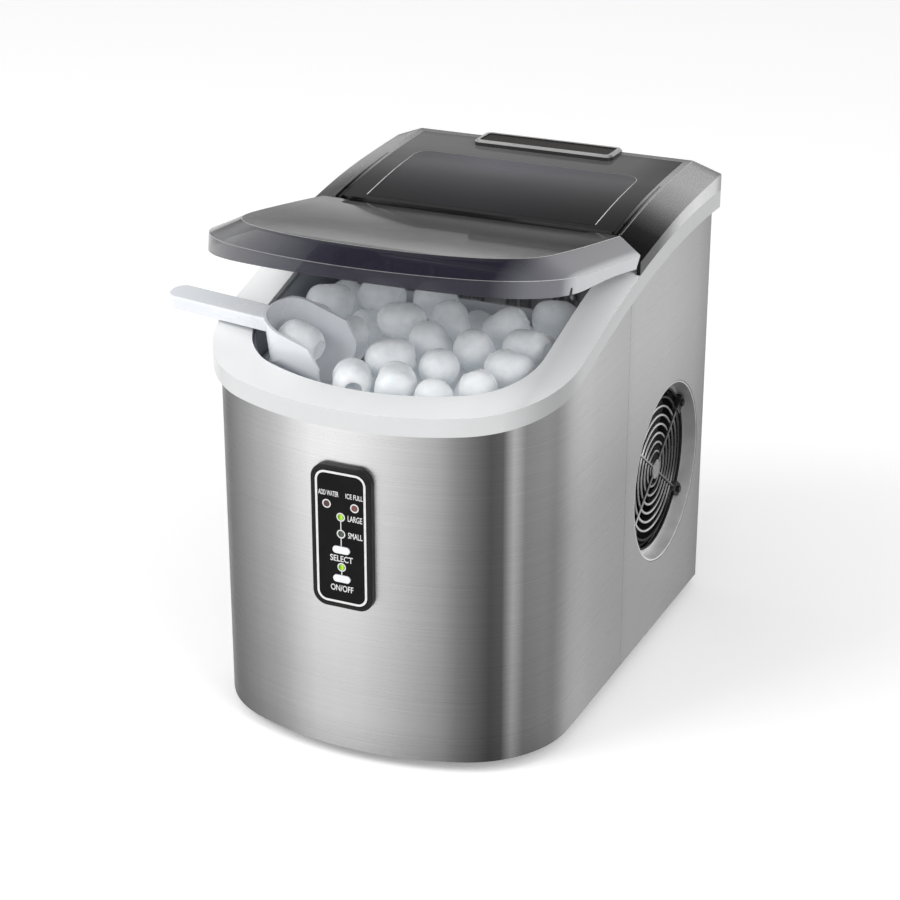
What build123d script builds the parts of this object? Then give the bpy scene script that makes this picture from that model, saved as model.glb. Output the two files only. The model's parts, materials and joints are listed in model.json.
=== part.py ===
from build123d import *
import math
import os
from functools import lru_cache
import numpy as np

# Compact countertop ice maker, in millimetres.
# X is left to right as seen from the front, the front faces -Y, and Z = 0 is the plane the feet stand on.
# The lid is drawn closed and then turned open about its hinge, which is how the machine rests here.

# ---------------------------------------------------------------- driving dimensions
# steel body
body_width = 236.0
body_depth = 333.0
corner_radius = 71.5        # plan radius of the two front corners
front_radius = 198.0        # plan radius of the bowed front
foot_height = 8.0
sheet = 1.0                 # steel thickness
seam_y = 9.0                # where the front wrap meets the side panels
seam_gap = 0.3

# white rim, whose top follows a long S from the low front to the high back
rim_profile = ((-171.5, 242.0), (-120.0, 252.0), (-45.0, 274.5),
               (30.0, 292.0), (105.0, 300.8), (171.5, 301.5))
rim_overhang = 5.0
rear_overhang = 1.0
rim_plate = 2.5
band_height = 12.0
steel_tuck = 8.0            # how far the steel runs up behind the band
rim_inset = 20.0            # from the steel to the edge of the mouth
mouth_to_back = 16.5        # from the mouth to the back of the body
flange_depth = 10.0
fit_gap = 0.3               # clearance between parts of the casing

# inner tank, with a low front part and a high shelf for the ice-making chamber
liner_wall = 2.2
liner_top_drop = 4.0
tank_floor_z = 36.0
tank_rear_y = 8.0
chamber_floor_z = 214.0
chamber_rear_y = 76.0
insulation_wall = 8.0
insulation_top_z = 200.0

# basket
basket_gap = 1.5
basket_wall = 2.0
basket_floor_z = 172.0
basket_top_z = 236.0
ledge_width = 7.0
ledge_height = 6.0

# ice
ice_radius = 13.3
ice_length = 35.0
ice_hole_radius = 5.2
ice_hole_depth = 21.0
ice_gap = 0.12
ice_count = 82
heap_front_z = 252.0
heap_back_z = 272.0
heap_rounds = 700           # steps in which the heap is shaken down
heap_shake = 1.5            # how far each step jolts a piece at first
heap_fall = 0.05            # how far it lets it fall

# lid
hinge_y = 18.5
hinge_z = 296.5
rest_opening = 24.4         # degrees the lid stands open
lid_wall = 2.5
lid_slope = 0.262           # rise per millimetre of depth when closed
lid_rear_y = 10.0
lid_rear_top_z = 308.0
lid_seat_gap = 1.0
crest_run = 20.0            # width of the sloping border round the lid and the cover
crest_drop = 10.0           # its height
ear_thickness = 5.0
ear_hub_radius = 5.0
hinge_pin_radius = 2.5
running_gap = 0.06

# rear cover
cover_profile = ((-10.0, 301.5), (35.0, 309.5), (75.0, 315.5), (115.0, 319.0), (171.5, 321.5))
cover_wall = 2.5
cover_front_y = 9.5
riser_wall = 2.0            # upright wall under the front edge of the top panel
panel_thickness = 2.0
panel_half_width = 98.0
panel_front_y = 28.5
panel_to_back = 8.5         # from the top panel to the back of the body
window_half_width = 82.5
window_front_y = 33.0
window_rear_y = 118.0
window_radius = 10.0        # at the rear corners
window_front_corner = 3.0
ledge_under_window = 4.5
shelf_z = 290.0
nameplate_width = 104.0
nameplate_depth = 26.0
nameplate_to_back = 13.5
nameplate_rise = 3.2
nameplate_border = 3.5

# control panel on the front
panel_width = 41.0
panel_height = 95.0
panel_center_z = 157.0
panel_stand_off = 4.0
panel_wall = 2.2
panel_round = 9.5
cutout_margin = 3.5
overlay_margin = 3.0
overlay_thickness = 0.8
led_radius = 1.9
led_spots = ((-9.5, 22.0), (9.5, 22.0), (0.0, 14.5), (0.0, 3.2), (0.0, -19.3))
select_button_z = -7.7      # from the panel's centre
power_button_z = -27.2
button_width = 11.8
button_height = 4.8
button_travel = 1.0
button_proud = 0.8
button_gap = 0.3

# side vent and fan, on one axis along X
fan_to_back = 76.3
fan_z = 120.7
vent_radius = 63.6
vent_depth = 12.0
ring_wall = 1.2
ring_floor = 1.4            # flat annulus round the guard
guard_wire = 1.0
guard_pitch = 6.3
guard_rings = 9
spoke_wire = 0.8
spoke_turn = 36.0           # of the guard's crossed spokes, from level
guard_hub_radius = 7.0
lug_length = 12.0           # screw lugs at the ends of the spokes
lug_width = 9.0
lug_height = 4.2
lug_screw_radius = 2.4
fan_radius = 52.0
fan_hub_radius = 15.0
fan_hub_depth = 11.0
fan_blades_count = 7
fan_to_guard = 4.0
motor_radius = 19.0
motor_length = 24.0
shaft_radius = 3.0

# refrigeration
compressor_x = -54.0
compressor_to_back = 66.5
compressor_radius = 42.0
compressor_height = 116.0
grommet_height = 9.0
line_radius = 3.0
condenser_x = 40.0
condenser_thickness = 24.0
condenser_width = 92.0
condenser_height = 118.0
condenser_base_z = 62.0
fin_count = 22
fin_thickness = 0.5
coil_radius = 4.0
coil_passes = 6

# ice-making chamber
pivot_y = 43.0
pivot_z = 252.0
trough_inner_radius = 25.0
trough_wall = 2.0
trough_end_gap = 11.5       # from the trough to the side wall of the chamber
finger_radius = 4.0
finger_tip_z = 236.0
manifold_z = 268.0
lead_inset = 8.0            # from the end of the trough to the evaporator leads
manifold_radius = 4.0
manifold_half_pitch = 8.0
finger_pitch = 34.0
shovel_gap = 1.4
shovel_wall = 2.0

# ---------------------------------------------------------------- derived places
half_width = body_width / 2
front_y = -body_depth / 2
rear_y = body_depth / 2
mouth_rear_y = rear_y - mouth_to_back
panel_rear_y = rear_y - panel_to_back
nameplate_y = rear_y - nameplate_to_back
fan_y = rear_y - fan_to_back
compressor_y = rear_y - compressor_to_back
liner_outer_half = half_width - rim_inset - fit_gap
liner_inner_half = liner_outer_half - liner_wall
trough_half_length = liner_inner_half - trough_end_gap
end_x = trough_half_length - lead_inset
lead_x = -end_x
front_center_y = front_y + front_radius
corner_x = half_width - corner_radius
corner_y = front_center_y - math.sqrt((front_radius - corner_radius) ** 2 - corner_x ** 2)
pan_floor_top = foot_height + 1.5
reach = body_width          # longer than any piece is wide, for cutting tools
tiny = 1e-6                 # keeps divisions by a length away from zero


# ---------------------------------------------------------------- shape helpers
def block(x, y, z):
    """A box between the given low and high ends along each axis."""
    ends = (x, y, z)
    return Pos(*[(low + high) / 2 for low, high in ends]) * Box(*[high - low for low, high in ends])


def rod(start, direction, radius, length):
    """A round bar that starts at a point and runs along a direction."""
    base = Plane(origin=start, z_dir=direction)
    return base * Cylinder(radius, length, align=(Align.CENTER, Align.CENTER, Align.MIN))


def pipe(points, radius, bend):
    """A round pipe along straight runs joined by equal bends."""
    path = FilletPolyline(*points, radius=bend)
    section = Plane(origin=path @ 0, z_dir=path % 0) * Circle(radius)
    return sweep(section, path=path)


def mirror_pair(shape):
    """The shape and its mirror image across the middle plane of the machine."""
    return shape + mirror(shape, about=Plane.YZ)


def plan(offset, rear=None):
    """The body's plan outline, grown by offset: bowed front, round corners, straight sides."""
    side = half_width + offset
    radius = corner_radius + offset
    bow = front_radius + offset
    rear = rear_y + offset if rear is None else rear
    turn = math.atan2(corner_y - front_center_y, corner_x)
    tangent_x = bow * math.cos(turn)
    tangent_y = front_center_y + bow * math.sin(turn)
    middle_x = corner_x + radius * math.cos(turn / 2)
    middle_y = corner_y + radius * math.sin(turn / 2)
    right = Line((side, rear), (side, corner_y))
    right_corner = ThreePointArc((side, corner_y), (middle_x, middle_y), (tangent_x, tangent_y))
    front = ThreePointArc((tangent_x, tangent_y), (0, front_center_y - bow), (-tangent_x, tangent_y))
    left_corner = ThreePointArc((-tangent_x, tangent_y), (-middle_x, middle_y), (-side, corner_y))
    left = Line((-side, corner_y), (-side, rear))
    back = Line((-side, rear), (side, rear))
    return make_face([right, right_corner, front, left_corner, left, back])


def column(offset, low, high, rear=None):
    """The plan outline raised from one height to another."""
    return Pos(0, 0, low) * extrude(plan(offset, rear), amount=high - low)


def wall(offset, thickness, low, high, rear=None, inner_rear=None):
    """An upright wall that follows the plan outline, its outer face at offset."""
    return column(offset, low, high, rear) - column(offset - thickness, low, high, inner_rear)


@lru_cache(maxsize=None)
def under(profile, shift=0.0):
    """Everything below a side profile that is given as (y, z) points, shifted up or down."""
    points = [(y, z + shift) for y, z in profile]
    first, last = points[0], points[-1]
    margin = 60.0
    top = [Line((first[0] - margin, first[1]), first), Spline(*points),
           Line(last, (last[0] + margin, last[1]))]
    ends = [Line((last[0] + margin, last[1]), (last[0] + margin, -margin)),
            Line((last[0] + margin, -margin), (first[0] - margin, -margin)),
            Line((first[0] - margin, -margin), (first[0] - margin, first[1]))]
    return extrude(Plane.YZ * make_face(top + ends), amount=reach, both=True)


def profile_height(profile, y):
    """Height of a side profile at one depth."""
    curve = Spline(*profile)
    low, high = 0.0, 1.0
    for _ in range(40):
        middle = (low + high) / 2
        if (curve @ middle).X < y:
            low = middle
        else:
            high = middle
    return (curve @ low).Y


def pill(width, height, depth):
    """An upright plate with round ends, its front face on the XZ plane and its body behind it."""
    return extrude(Plane.XZ * SlotOverall(width, height), amount=-depth)


# ---------------------------------------------------------------- casing
tank_top = rim_profile[-1][1] + 20.0
foot_spots = [(sx * x, y) for x, y in ((82.0, front_y + 66.5), (98.0, rear_y - 18.5)) for sx in (-1, 1)]
foot_radius = 11.0
foot_bore = 4.6
foot_screw_radius = 2.0
screw_head_height = 2.4
foot_boss_height = 8.0
post_radius = 6.0
post_spots = [(sx * 62.0, y) for sx in (-1, 1) for y in (-105.0, -25.0)]
grommet_radius = 8.0
grommet_reach = 48.0
grommet_spots = [(compressor_x + grommet_reach * math.cos(math.radians(a)),
                  compressor_y + grommet_reach * math.sin(math.radians(a))) for a in (45, 135, 225, 315)]


def base_pan():
    """Moulded tray under the machine, with bosses for the feet and posts that carry the tank."""
    edge = sheet + fit_gap
    flange = 14.0
    tray = column(-edge, foot_height, foot_height + flange, rear_y - edge)
    tray -= column(-edge - 2.0, pan_floor_top, foot_height + flange, rear_y - edge - 2.0)
    for x, y in foot_spots:
        tray += rod((x, y, pan_floor_top), (0, 0, 1), 5.0, foot_boss_height)
    for x, y in foot_spots:
        tray -= rod((x, y, foot_height), (0, 0, 1), foot_screw_radius + 0.1, foot_boss_height)
    for x, y in post_spots:
        tray += rod((x, y, pan_floor_top), (0, 0, 1), post_radius, tank_floor_z - liner_wall - pan_floor_top)
    return tray


def feet():
    """Four rubber feet, each hollowed for its screw head."""
    foot = Cone(foot_radius - 1.5, foot_radius, foot_height, align=(Align.CENTER, Align.CENTER, Align.MIN))
    foot -= Cylinder(foot_bore, foot_height - 2.5, align=(Align.CENTER, Align.CENTER, Align.MIN))
    foot -= Cylinder(foot_screw_radius + 0.1, foot_height, align=(Align.CENTER, Align.CENTER, Align.MIN))
    return Compound([Pos(x, y, 0) * foot for x, y in foot_spots])


def foot_screws():
    """Screws that hold the feet to the pan."""
    seat = foot_height - 2.5
    head = Pos(0, 0, seat - screw_head_height) * Cylinder(
        3.8, screw_head_height, align=(Align.CENTER, Align.CENTER, Align.MIN))
    shank = Pos(0, 0, seat) * Cylinder(foot_screw_radius, 9.0, align=(Align.CENTER, Align.CENTER, Align.MIN))
    slot = block((-3.0, 3.0), (-0.5, 0.5), (seat - screw_head_height, seat - screw_head_height + 1.0))
    screw = head + shank - slot
    return Compound([Pos(x, y, 0) * screw for x, y in foot_spots])


def steel_shell():
    """The whole steel wall before it is split into sheets, up to its edge behind the band."""
    shell = wall(0, sheet, foot_height, tank_top, rear_y, rear_y + 1)
    return shell & under(rim_profile, steel_tuck - band_height)


drain_y = -22.0
drain_z = 47.0
drain_tube_radius = 7.0
drain_bore = 4.8


def front_wrap():
    """Brushed steel sheet bent round the front and both sides as far as the seam."""
    wrap = steel_shell() & block((-reach, reach), (-reach, seam_y - seam_gap / 2), (0, tank_top))
    half = panel_width / 2 - cutout_margin
    tall = panel_height / 2 - cutout_margin
    wrap -= block((-half, half), (front_y - 5, front_y + 15), (panel_center_z - tall, panel_center_z + tall))
    wrap -= rod((-reach, drain_y, drain_z), (1, 0, 0), drain_tube_radius + fit_gap, reach)
    return wrap


def side_sheet():
    """Plain right-hand side sheet behind the seam."""
    return steel_shell() & block((0, reach), (seam_y + seam_gap / 2, rear_y - sheet - 0.2), (0, tank_top))


def side_panel_right():
    """Right-hand side sheet with the round vent opening."""
    return side_sheet() - rod((0, fan_y, fan_z), (1, 0, 0), vent_radius, reach)


def side_panel_left():
    """Left-hand side sheet with rows of air slots."""
    sheet_part = mirror(side_sheet(), about=Plane.YZ)
    slot = extrude(Plane.YZ * SlotOverall(34.0, 4.0), amount=reach)
    rows = [Pos(-reach, y, z) * slot for y in (66.0, 112.0) for z in range(60, 181, 12)]
    return sheet_part - rows


back_half = half_width - sheet - 0.2
inlet_x = 72.0
inlet_z = 48.0
inlet_width = 27.0
inlet_height = 20.0
back_screw_spots = [(sx * (back_half - 9.0), z) for sx in (-1, 1) for z in (30.0, 115.0, 200.0, 270.0)]
back_screw_radius = 1.8


def back_panel():
    """Rear sheet with folded side flanges, louvre slots and a cut-out for the power inlet."""
    top = profile_height(rim_profile, rear_y) - band_height + steel_tuck - 3.0
    panel = block((-back_half, back_half), (rear_y - sheet, rear_y), (foot_height, top))
    fold = block((back_half - sheet, back_half), (rear_y - 12.0, rear_y - sheet), (foot_height + 15.0, top))
    panel += mirror_pair(fold)
    slot = extrude(Plane.XZ * SlotOverall(44.0, 4.2), amount=-reach, both=True)
    louvres = [Pos(x, rear_y, z) * slot for x in (-56.0, 0.0, 56.0) for z in range(90, 235, 12)]
    panel -= louvres
    panel -= block((inlet_x - inlet_width / 2 - fit_gap, inlet_x + inlet_width / 2 + fit_gap),
                   (rear_y - 5, rear_y + 5),
                   (inlet_z - inlet_height / 2 - fit_gap, inlet_z + inlet_height / 2 + fit_gap))
    for x, z in back_screw_spots:
        panel -= rod((x, rear_y - 5, z), (0, 1, 0), back_screw_radius + 0.1, 10)
    return panel


def back_screws():
    """Pan-head screws round the rear sheet."""
    head = Pos(0, rear_y, 0) * extrude(Plane.XZ * Circle(3.6), amount=-2.0)
    head = fillet(head.edges().sort_by(Axis.Y)[-1], 1.2)
    shank = rod((0, rear_y - 8.0, 0), (0, 1, 0), back_screw_radius, 8.0)
    screw = head + shank - block((-2.4, 2.4), (rear_y + 1.1, rear_y + 3), (-0.45, 0.45))
    return Compound([Pos(x, 0, z) * screw for x, z in back_screw_spots])


def rim_bezel():
    """White one-piece rim: a flat top, a band down the outside and a flange down the mouth."""
    outer = column(rim_overhang, 150, tank_top, rear_y + rear_overhang) & under(rim_profile)
    outer -= under(rim_profile, -band_height)
    hollow = column(fit_gap, 140, tank_top) & under(rim_profile, -rim_plate)
    mouth = column(-rim_inset, 140, tank_top, mouth_rear_y)
    flange = column(-rim_inset + rim_plate, 140, tank_top, mouth_rear_y + rim_plate)
    flange &= under(rim_profile, -1.0)
    flange -= under(rim_profile, -rim_plate - flange_depth)
    return outer - hollow + flange - mouth


# ---------------------------------------------------------------- tank, insulation and basket
trunnion_radius = 3.0
water_inlet = (70.0, 62.0)
outlet_x = 78.0
outlet_z = 45.0
hose_radius = 4.5


def liner():
    """Moulded inner tank: a deep front for water and basket, a high rear shelf for the chamber."""
    top = under(rim_profile, -liner_top_drop)
    out = rim_inset + fit_gap
    outer = column(-out, tank_floor_z - liner_wall, tank_top, chamber_rear_y + liner_wall) & top
    outer -= block((-reach, reach), (tank_rear_y + liner_wall, reach), (0, chamber_floor_z - liner_wall))
    inner = column(-out - liner_wall, tank_floor_z, tank_top, chamber_rear_y)
    inner -= block((-reach, reach), (tank_rear_y, reach), (0, chamber_floor_z))
    tank = outer - inner
    side = half_width - out - liner_wall
    for y in (-70.0, -15.0):
        ledge = block((side - ledge_width, side), (y - 9.0, y + 9.0),
                      (basket_floor_z - ledge_height, basket_floor_z))
        tank += mirror_pair(ledge)
    tank -= rod((-reach, pivot_y, pivot_z), (1, 0, 0), trunnion_radius + running_gap, 2 * reach)
    tank -= rod((-reach, drain_y, drain_z), (1, 0, 0), drain_bore, reach)
    tank -= rod((outlet_x, 0, outlet_z), (0, 1, 0), hose_radius - 1.5, 30)
    tank -= rod((*water_inlet, 0), (0, 0, 1), hose_radius + 0.2, pivot_z)
    return tank


def insulation_jacket():
    """Foam wrapped round the front and sides of the tank."""
    outside = -rim_inset + insulation_wall
    jacket = wall(outside, insulation_wall, tank_floor_z + 2.0, insulation_top_z, tank_rear_y,
                  tank_rear_y + 1)
    return jacket - rod((-reach, drain_y, drain_z), (1, 0, 0), drain_tube_radius + fit_gap, reach)


basket_offset = -(rim_inset + fit_gap + liner_wall + basket_gap)
basket_rear_y = tank_rear_y - basket_gap


def ice_basket():
    """Lift-out basket with a slotted floor, a slotted back wall and two finger notches."""
    low = basket_floor_z + fit_gap
    basket = column(basket_offset, low, basket_top_z, basket_rear_y)
    basket -= column(basket_offset - basket_wall, low + basket_wall, basket_top_z,
                     basket_rear_y - basket_wall)
    floor_slot = extrude(SlotOverall(70.0, 5.0, rotation=90), amount=4 * basket_wall)
    basket -= [Pos(x, -62.0, low - basket_wall) * floor_slot for x in range(-75, 76, 15)]
    wall_slot = extrude(Plane.XZ * SlotOverall(40.0, 5.0, rotation=90), amount=20.0, both=True)
    basket -= [Pos(x, basket_rear_y, low + 38.0) * wall_slot for x in range(-75, 76, 15)]
    notch = extrude(Plane.YZ * SlotOverall(26.0, 16.0), amount=reach, both=True)
    return basket - Pos(0, -40.0, basket_top_z) * notch


# ---------------------------------------------------------------- scoop
scoop_spot = (-80.0, -105.0, 270.3)      # middle of the bowl's back edge before it settles on the ice
scoop_yaw = -10.0
scoop_roll = 10.0
bowl_pitch = 12.0           # how far the bowl's floor dips below the handle
bowl_length = 52.0
bowl_width = 42.0
bowl_depth = 27.0
bowl_wall = 1.8
bowl_back_round = 20.5      # seen from above
bowl_floor_round = 14.0
bowl_back_rise = 6.0        # how far the rim stands above the handle at the back
bowl_rim_fall = 6.0         # how far it lies below the handle near the nose
bowl_nose = 9.0
scooped_from = 5.3         # from the back of the bowl to the ice that lies in it
handle_length = 83.0
handle_width = 17.5
handle_height = 9.0
handle_wall = 2.0


def scoop_frame(sink=0.0):
    """The scoop's own axes, with the handle along -X, lowered by sink."""
    x, y, z = scoop_spot
    return Pos(x, y, z - sink) * Rot(0, 0, scoop_yaw) * Rot(scoop_roll, 0, 0)


def bowl_form(inset):
    """The bowl's outer form, or its hollow: a rounded trough that dips forward, closed by a round back."""
    width = bowl_width - 2 * inset
    section = Rectangle(width, 2 * (bowl_depth - inset))
    section = fillet(section.vertices().group_by(Axis.Y)[0], bowl_floor_round - inset)
    trough = extrude(Plane.YZ * section, amount=bowl_length + (inset > 0) * reach, both=True)
    trough = Rot(0, bowl_pitch, 0) * trough
    outline = Pos(inset + bowl_length, 0) * RectangleRounded(2 * bowl_length, width, bowl_back_round - inset)
    return trough & Pos(0, 0, -reach / 2) * extrude(outline, amount=reach)


def ice_scoop():
    """Plastic scoop: a bowl whose rim falls from its round back to the nose, and a channel-shaped handle."""
    bowl = bowl_form(0.0) - bowl_form(bowl_wall)
    side = [(-1.0, -reach), (-1.0, bowl_back_rise), (bowl_back_rise, bowl_back_rise), (bowl_width / 2, 0),
            (bowl_length - bowl_nose, -bowl_rim_fall), (bowl_length, -bowl_depth), (bowl_length, -reach)]
    bowl &= extrude(Plane.XZ * make_face(Polyline(*side, close=True)), amount=bowl_width, both=True)
    grip = Pos((handle_width - handle_length) / 2, 0, 0)
    handle = grip * extrude(SlotOverall(handle_length + handle_width, handle_width), amount=-handle_height)
    handle = fillet(handle.edges().group_by(Axis.Z)[-1], 1.5)
    groove = SlotOverall(handle_length + handle_width - 2 * handle_wall, handle_width - 2 * handle_wall)
    handle -= grip * Pos(0, 0, -handle_wall) * extrude(groove, amount=-handle_height)
    handle &= block((-handle_length - handle_width, bowl_wall / 2), (-reach, reach), (-reach, reach))
    return scoop_frame(scoop_sink()) * (bowl + handle)


# ---------------------------------------------------------------- ice
def ice_piece():
    """One hollow piece of bullet ice along its own Z axis, centred on its middle."""
    half = ice_length / 2
    straight = half - ice_radius
    bend = ice_radius / math.sqrt(2)
    outline = make_face([Line((0, -half), (0, half)),
                         ThreePointArc((0, half), (bend, straight + bend), (ice_radius, straight)),
                         Line((ice_radius, straight), (ice_radius, -straight)),
                         ThreePointArc((ice_radius, -straight), (bend, -straight - bend), (0, -half))])
    body = revolve(Plane.XZ * outline, axis=Axis.Z)
    hole = Cone(ice_hole_radius * 0.7, ice_hole_radius, ice_hole_depth,
                align=(Align.CENTER, Align.CENTER, Align.MAX))
    return body - Pos(0, 0, half) * hole


def nearest_shares(a, b, c, d):
    """For each pair of segments a-b and c-d, how far along each one its nearest point to the other lies."""
    u, v, w = b - a, d - c, a - c
    uu, uv, vv = (u * u).sum(1), (u * v).sum(1), (v * v).sum(1)
    uw, vw = (u * w).sum(1), (v * w).sum(1)
    s = np.clip((uv * vw - vv * uw) / (uu * vv - uv * uv + tiny), 0, 1)
    t = np.clip((uv * s + vw) / vv, 0, 1)
    return np.clip((uv * t - uw) / uu, 0, 1)[:, None], t[:, None]


def part_pieces(a, b, apart):
    """Move overlapping pieces away from each other, given the ends a and b of each one's axis."""
    i, j = np.triu_indices(len(a), 1)
    s, t = nearest_shares(a[i], b[i], a[j], b[j])
    between = a[i] + (b[i] - a[i]) * s - a[j] - (b[j] - a[j]) * t
    distance = np.linalg.norm(between, axis=1)[:, None] + tiny
    move = 0.3 * np.maximum(apart - distance, 0) * between / distance
    for ends, share in ((a, 1 - s), (b, s)):
        np.add.at(ends, i, move * share / (share ** 2 + (1 - share) ** 2))
    for ends, share in ((a, 1 - t), (b, t)):
        np.add.at(ends, j, -move * share / (share ** 2 + (1 - share) ** 2))


def keep_in_basket(ends, radius):
    """Bring ends back inside the basket and below the top of the heap."""
    inset = -basket_offset + basket_wall + radius
    side, rear = half_width - inset, basket_rear_y - basket_wall - radius
    ends[:, 0] = np.clip(ends[:, 0], -side, side)
    ends[:, 1] = np.minimum(ends[:, 1], rear)
    corner = np.stack([np.sign(ends[:, 0]) * corner_x, np.full(len(ends), corner_y)], 1)
    in_corner = (np.abs(ends[:, 0]) > corner_x) & (ends[:, 1] < corner_y)
    bow = np.array([[0, front_center_y]])
    for center, limit, where in ((corner, corner_radius - inset, in_corner),
                                 (bow, front_radius - inset, ends[:, 1] < corner_y)):
        away = ends[:, :2] - center
        far = np.linalg.norm(away, axis=1)[:, None]
        pulled = center + away * np.minimum(1, limit / far)
        ends[where, :2] = pulled[where]
    back = np.clip((ends[:, 1] - front_y - 30.0) / 100.0, 0, 1)
    ceiling = heap_front_z + (heap_back_z - heap_front_z) * back
    ends[:, 2] = np.clip(ends[:, 2], basket_floor_z + fit_gap + basket_wall + radius, ceiling - radius)


def bowl_axes(sink=0.0):
    """Origin of the scoop's bowl and its three directions as columns."""
    frame = scoop_frame(sink) * Rot(0, bowl_pitch, 0)
    origin = np.array(tuple(frame.position))
    tips = [np.array(tuple((frame * Pos(*unit)).position)) for unit in ((1, 0, 0), (0, 1, 0), (0, 0, 1))]
    return origin, np.stack(tips, 1) - origin[:, None]


def outside_bowl(points, axes):
    """Each point in the bowl's axes, and how far it lies beyond the bowl's block along each of them."""
    local = (points - axes[0]) @ axes[1]
    beyond = np.stack([np.minimum(local[:, 0], 0) + np.maximum(local[:, 0] - bowl_length, 0),
                       np.sign(local[:, 1]) * np.maximum(np.abs(local[:, 1]) - bowl_width / 2, 0),
                       np.minimum(local[:, 2] + bowl_depth, 0)], 1)
    return local, beyond


def clear_of_bowl(ends, radius, axes):
    """Push ends out of the scoop's bowl, downwards for those that are wholly inside it."""
    local, beyond = outside_bowl(ends, axes)
    far = np.linalg.norm(beyond, axis=1)[:, None]
    inside = far[:, 0] < tiny
    local += beyond / (far + tiny) * np.maximum(radius - far, 0) * ~inside[:, None]
    local[inside, 2] = -bowl_depth - radius
    ends[:] = local @ axes[1].T + axes[0]


@lru_cache(maxsize=None)
def ice_heap():
    """Ends of the axis of every piece in the basket, shaken down until none overlap."""
    arm = ice_length / 2 - ice_radius
    radius = ice_radius + ice_gap
    draw = np.random.default_rng(5)
    low = (-half_width, front_y, basket_floor_z)
    high = (half_width, tank_rear_y, heap_back_z)
    middle = draw.uniform(low, high, (ice_count, 3))
    lean = draw.normal(size=(ice_count, 3))
    a, b = middle + arm * lean, middle - arm * lean
    axes = bowl_axes()
    for step in range(heap_rounds):
        settle = max(0.0, 1 - 1.5 * step / heap_rounds)
        for ends in (a, b):
            ends += draw.normal(scale=heap_shake * settle, size=ends.shape)
            ends[:, 2] -= heap_fall * settle
        part_pieces(a, b, 2 * radius)
        for ends in (a, b):
            clear_of_bowl(ends, radius, axes)
            keep_in_basket(ends, radius)
        middle, lean = (a + b) / 2, a - b + tiny
        lean *= arm / np.linalg.norm(lean, axis=1)[:, None]
        a, b = middle + lean, middle - lean
    return a, b


@lru_cache(maxsize=None)
def scoop_sink():
    """How far the scoop drops from its first spot until its bowl rests on the ice."""
    a, b = ice_heap()
    points = np.concatenate([a + (b - a) * share for share in np.linspace(0, 1, 5)])
    sink = 0.0
    while sink < bowl_depth:
        beyond = outside_bowl(points, bowl_axes(sink))[1]
        clear = np.linalg.norm(beyond, axis=1).min() - ice_radius
        if clear < 2 * ice_gap:
            break
        sink += clear - ice_gap
    return sink


def lay_ice(a, b):
    """An ice piece turned so that its axis runs through both ends."""
    a, b = Vector(*a.tolist()), Vector(*b.tolist())
    return Plane(origin=(a + b) * 0.5, z_dir=a - b) * ice_piece()


def ice_pieces():
    """The heap of ice in the basket."""
    return Compound([lay_ice(a, b) for a, b in zip(*ice_heap())])


def scooped_ice():
    """The piece that lies along the scoop's bowl."""
    floor = scoop_frame(scoop_sink()) * Rot(0, bowl_pitch, 0) * Pos(0, 0, bowl_wall - bowl_depth)
    along = Pos(ice_length / 2 + scooped_from, 0, ice_radius + ice_gap) * Rot(0, 90, 0)
    return floor * along * ice_piece()


# ---------------------------------------------------------------- lid
lid_angle = math.atan(lid_slope)


def lid_block(offset, sink):
    """The closed lid's outer form, or its inner one: straight edge, sloping border and flat tilted top."""
    rise = crest_drop + 40.0
    base = Plane(origin=(0, lid_rear_y, lid_rear_top_z - sink), x_dir=(1, 0, 0),
                 z_dir=(0, -math.sin(lid_angle), math.cos(lid_angle)))
    outline = scale(plan(offset, rear_y), by=(1, 1 / math.cos(lid_angle), 1))
    outline = Pos(0, -lid_rear_y / math.cos(lid_angle), 0) * outline
    body = extrude(base * outline, amount=rise, dir=-base.z_dir)
    top = body.faces().sort_by(Axis((0, 0, 0), (0, -math.sin(lid_angle), math.cos(lid_angle))))[-1]
    edges = [e for e in top.edges() if e.center().Y < rear_y - 1]
    return chamfer(edges, length=crest_run, length2=crest_drop, reference=top)


def lid_cut():
    """The lid's rear end: upright at the edge and leaning back towards the top."""
    low_z = hinge_z - 8.0
    corner = [(reach, -reach), (4.0, -reach), (4.0, low_z), (lid_rear_y, lid_rear_top_z - 2.0),
              (lid_rear_y, reach * 2), (reach, reach * 2)]
    return extrude(Plane.YZ * make_face(Polyline(*corner, close=True)), amount=reach, both=True)


ear_outside = panel_half_width - 1.0
bumper_size = (3.4, 9.0, 3.0)
bumper_spots = [(sx * (half_width + rim_overhang - lid_wall - 1.2), -96.0) for sx in (-1, 1)]


def bumper_block(x, y, grow):
    """A bumper, or the pocket for it, in the underside of the lid's edge."""
    seat = profile_height(rim_profile, y)
    w, d, h = bumper_size
    bumper = block((x - w / 2 - grow, x + w / 2 + grow), (y - d / 2 - grow, y + d / 2 + grow),
                   (seat - h, seat + lid_seat_gap + h + grow))
    return bumper if grow else bumper - under(rim_profile, fit_gap)


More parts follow.
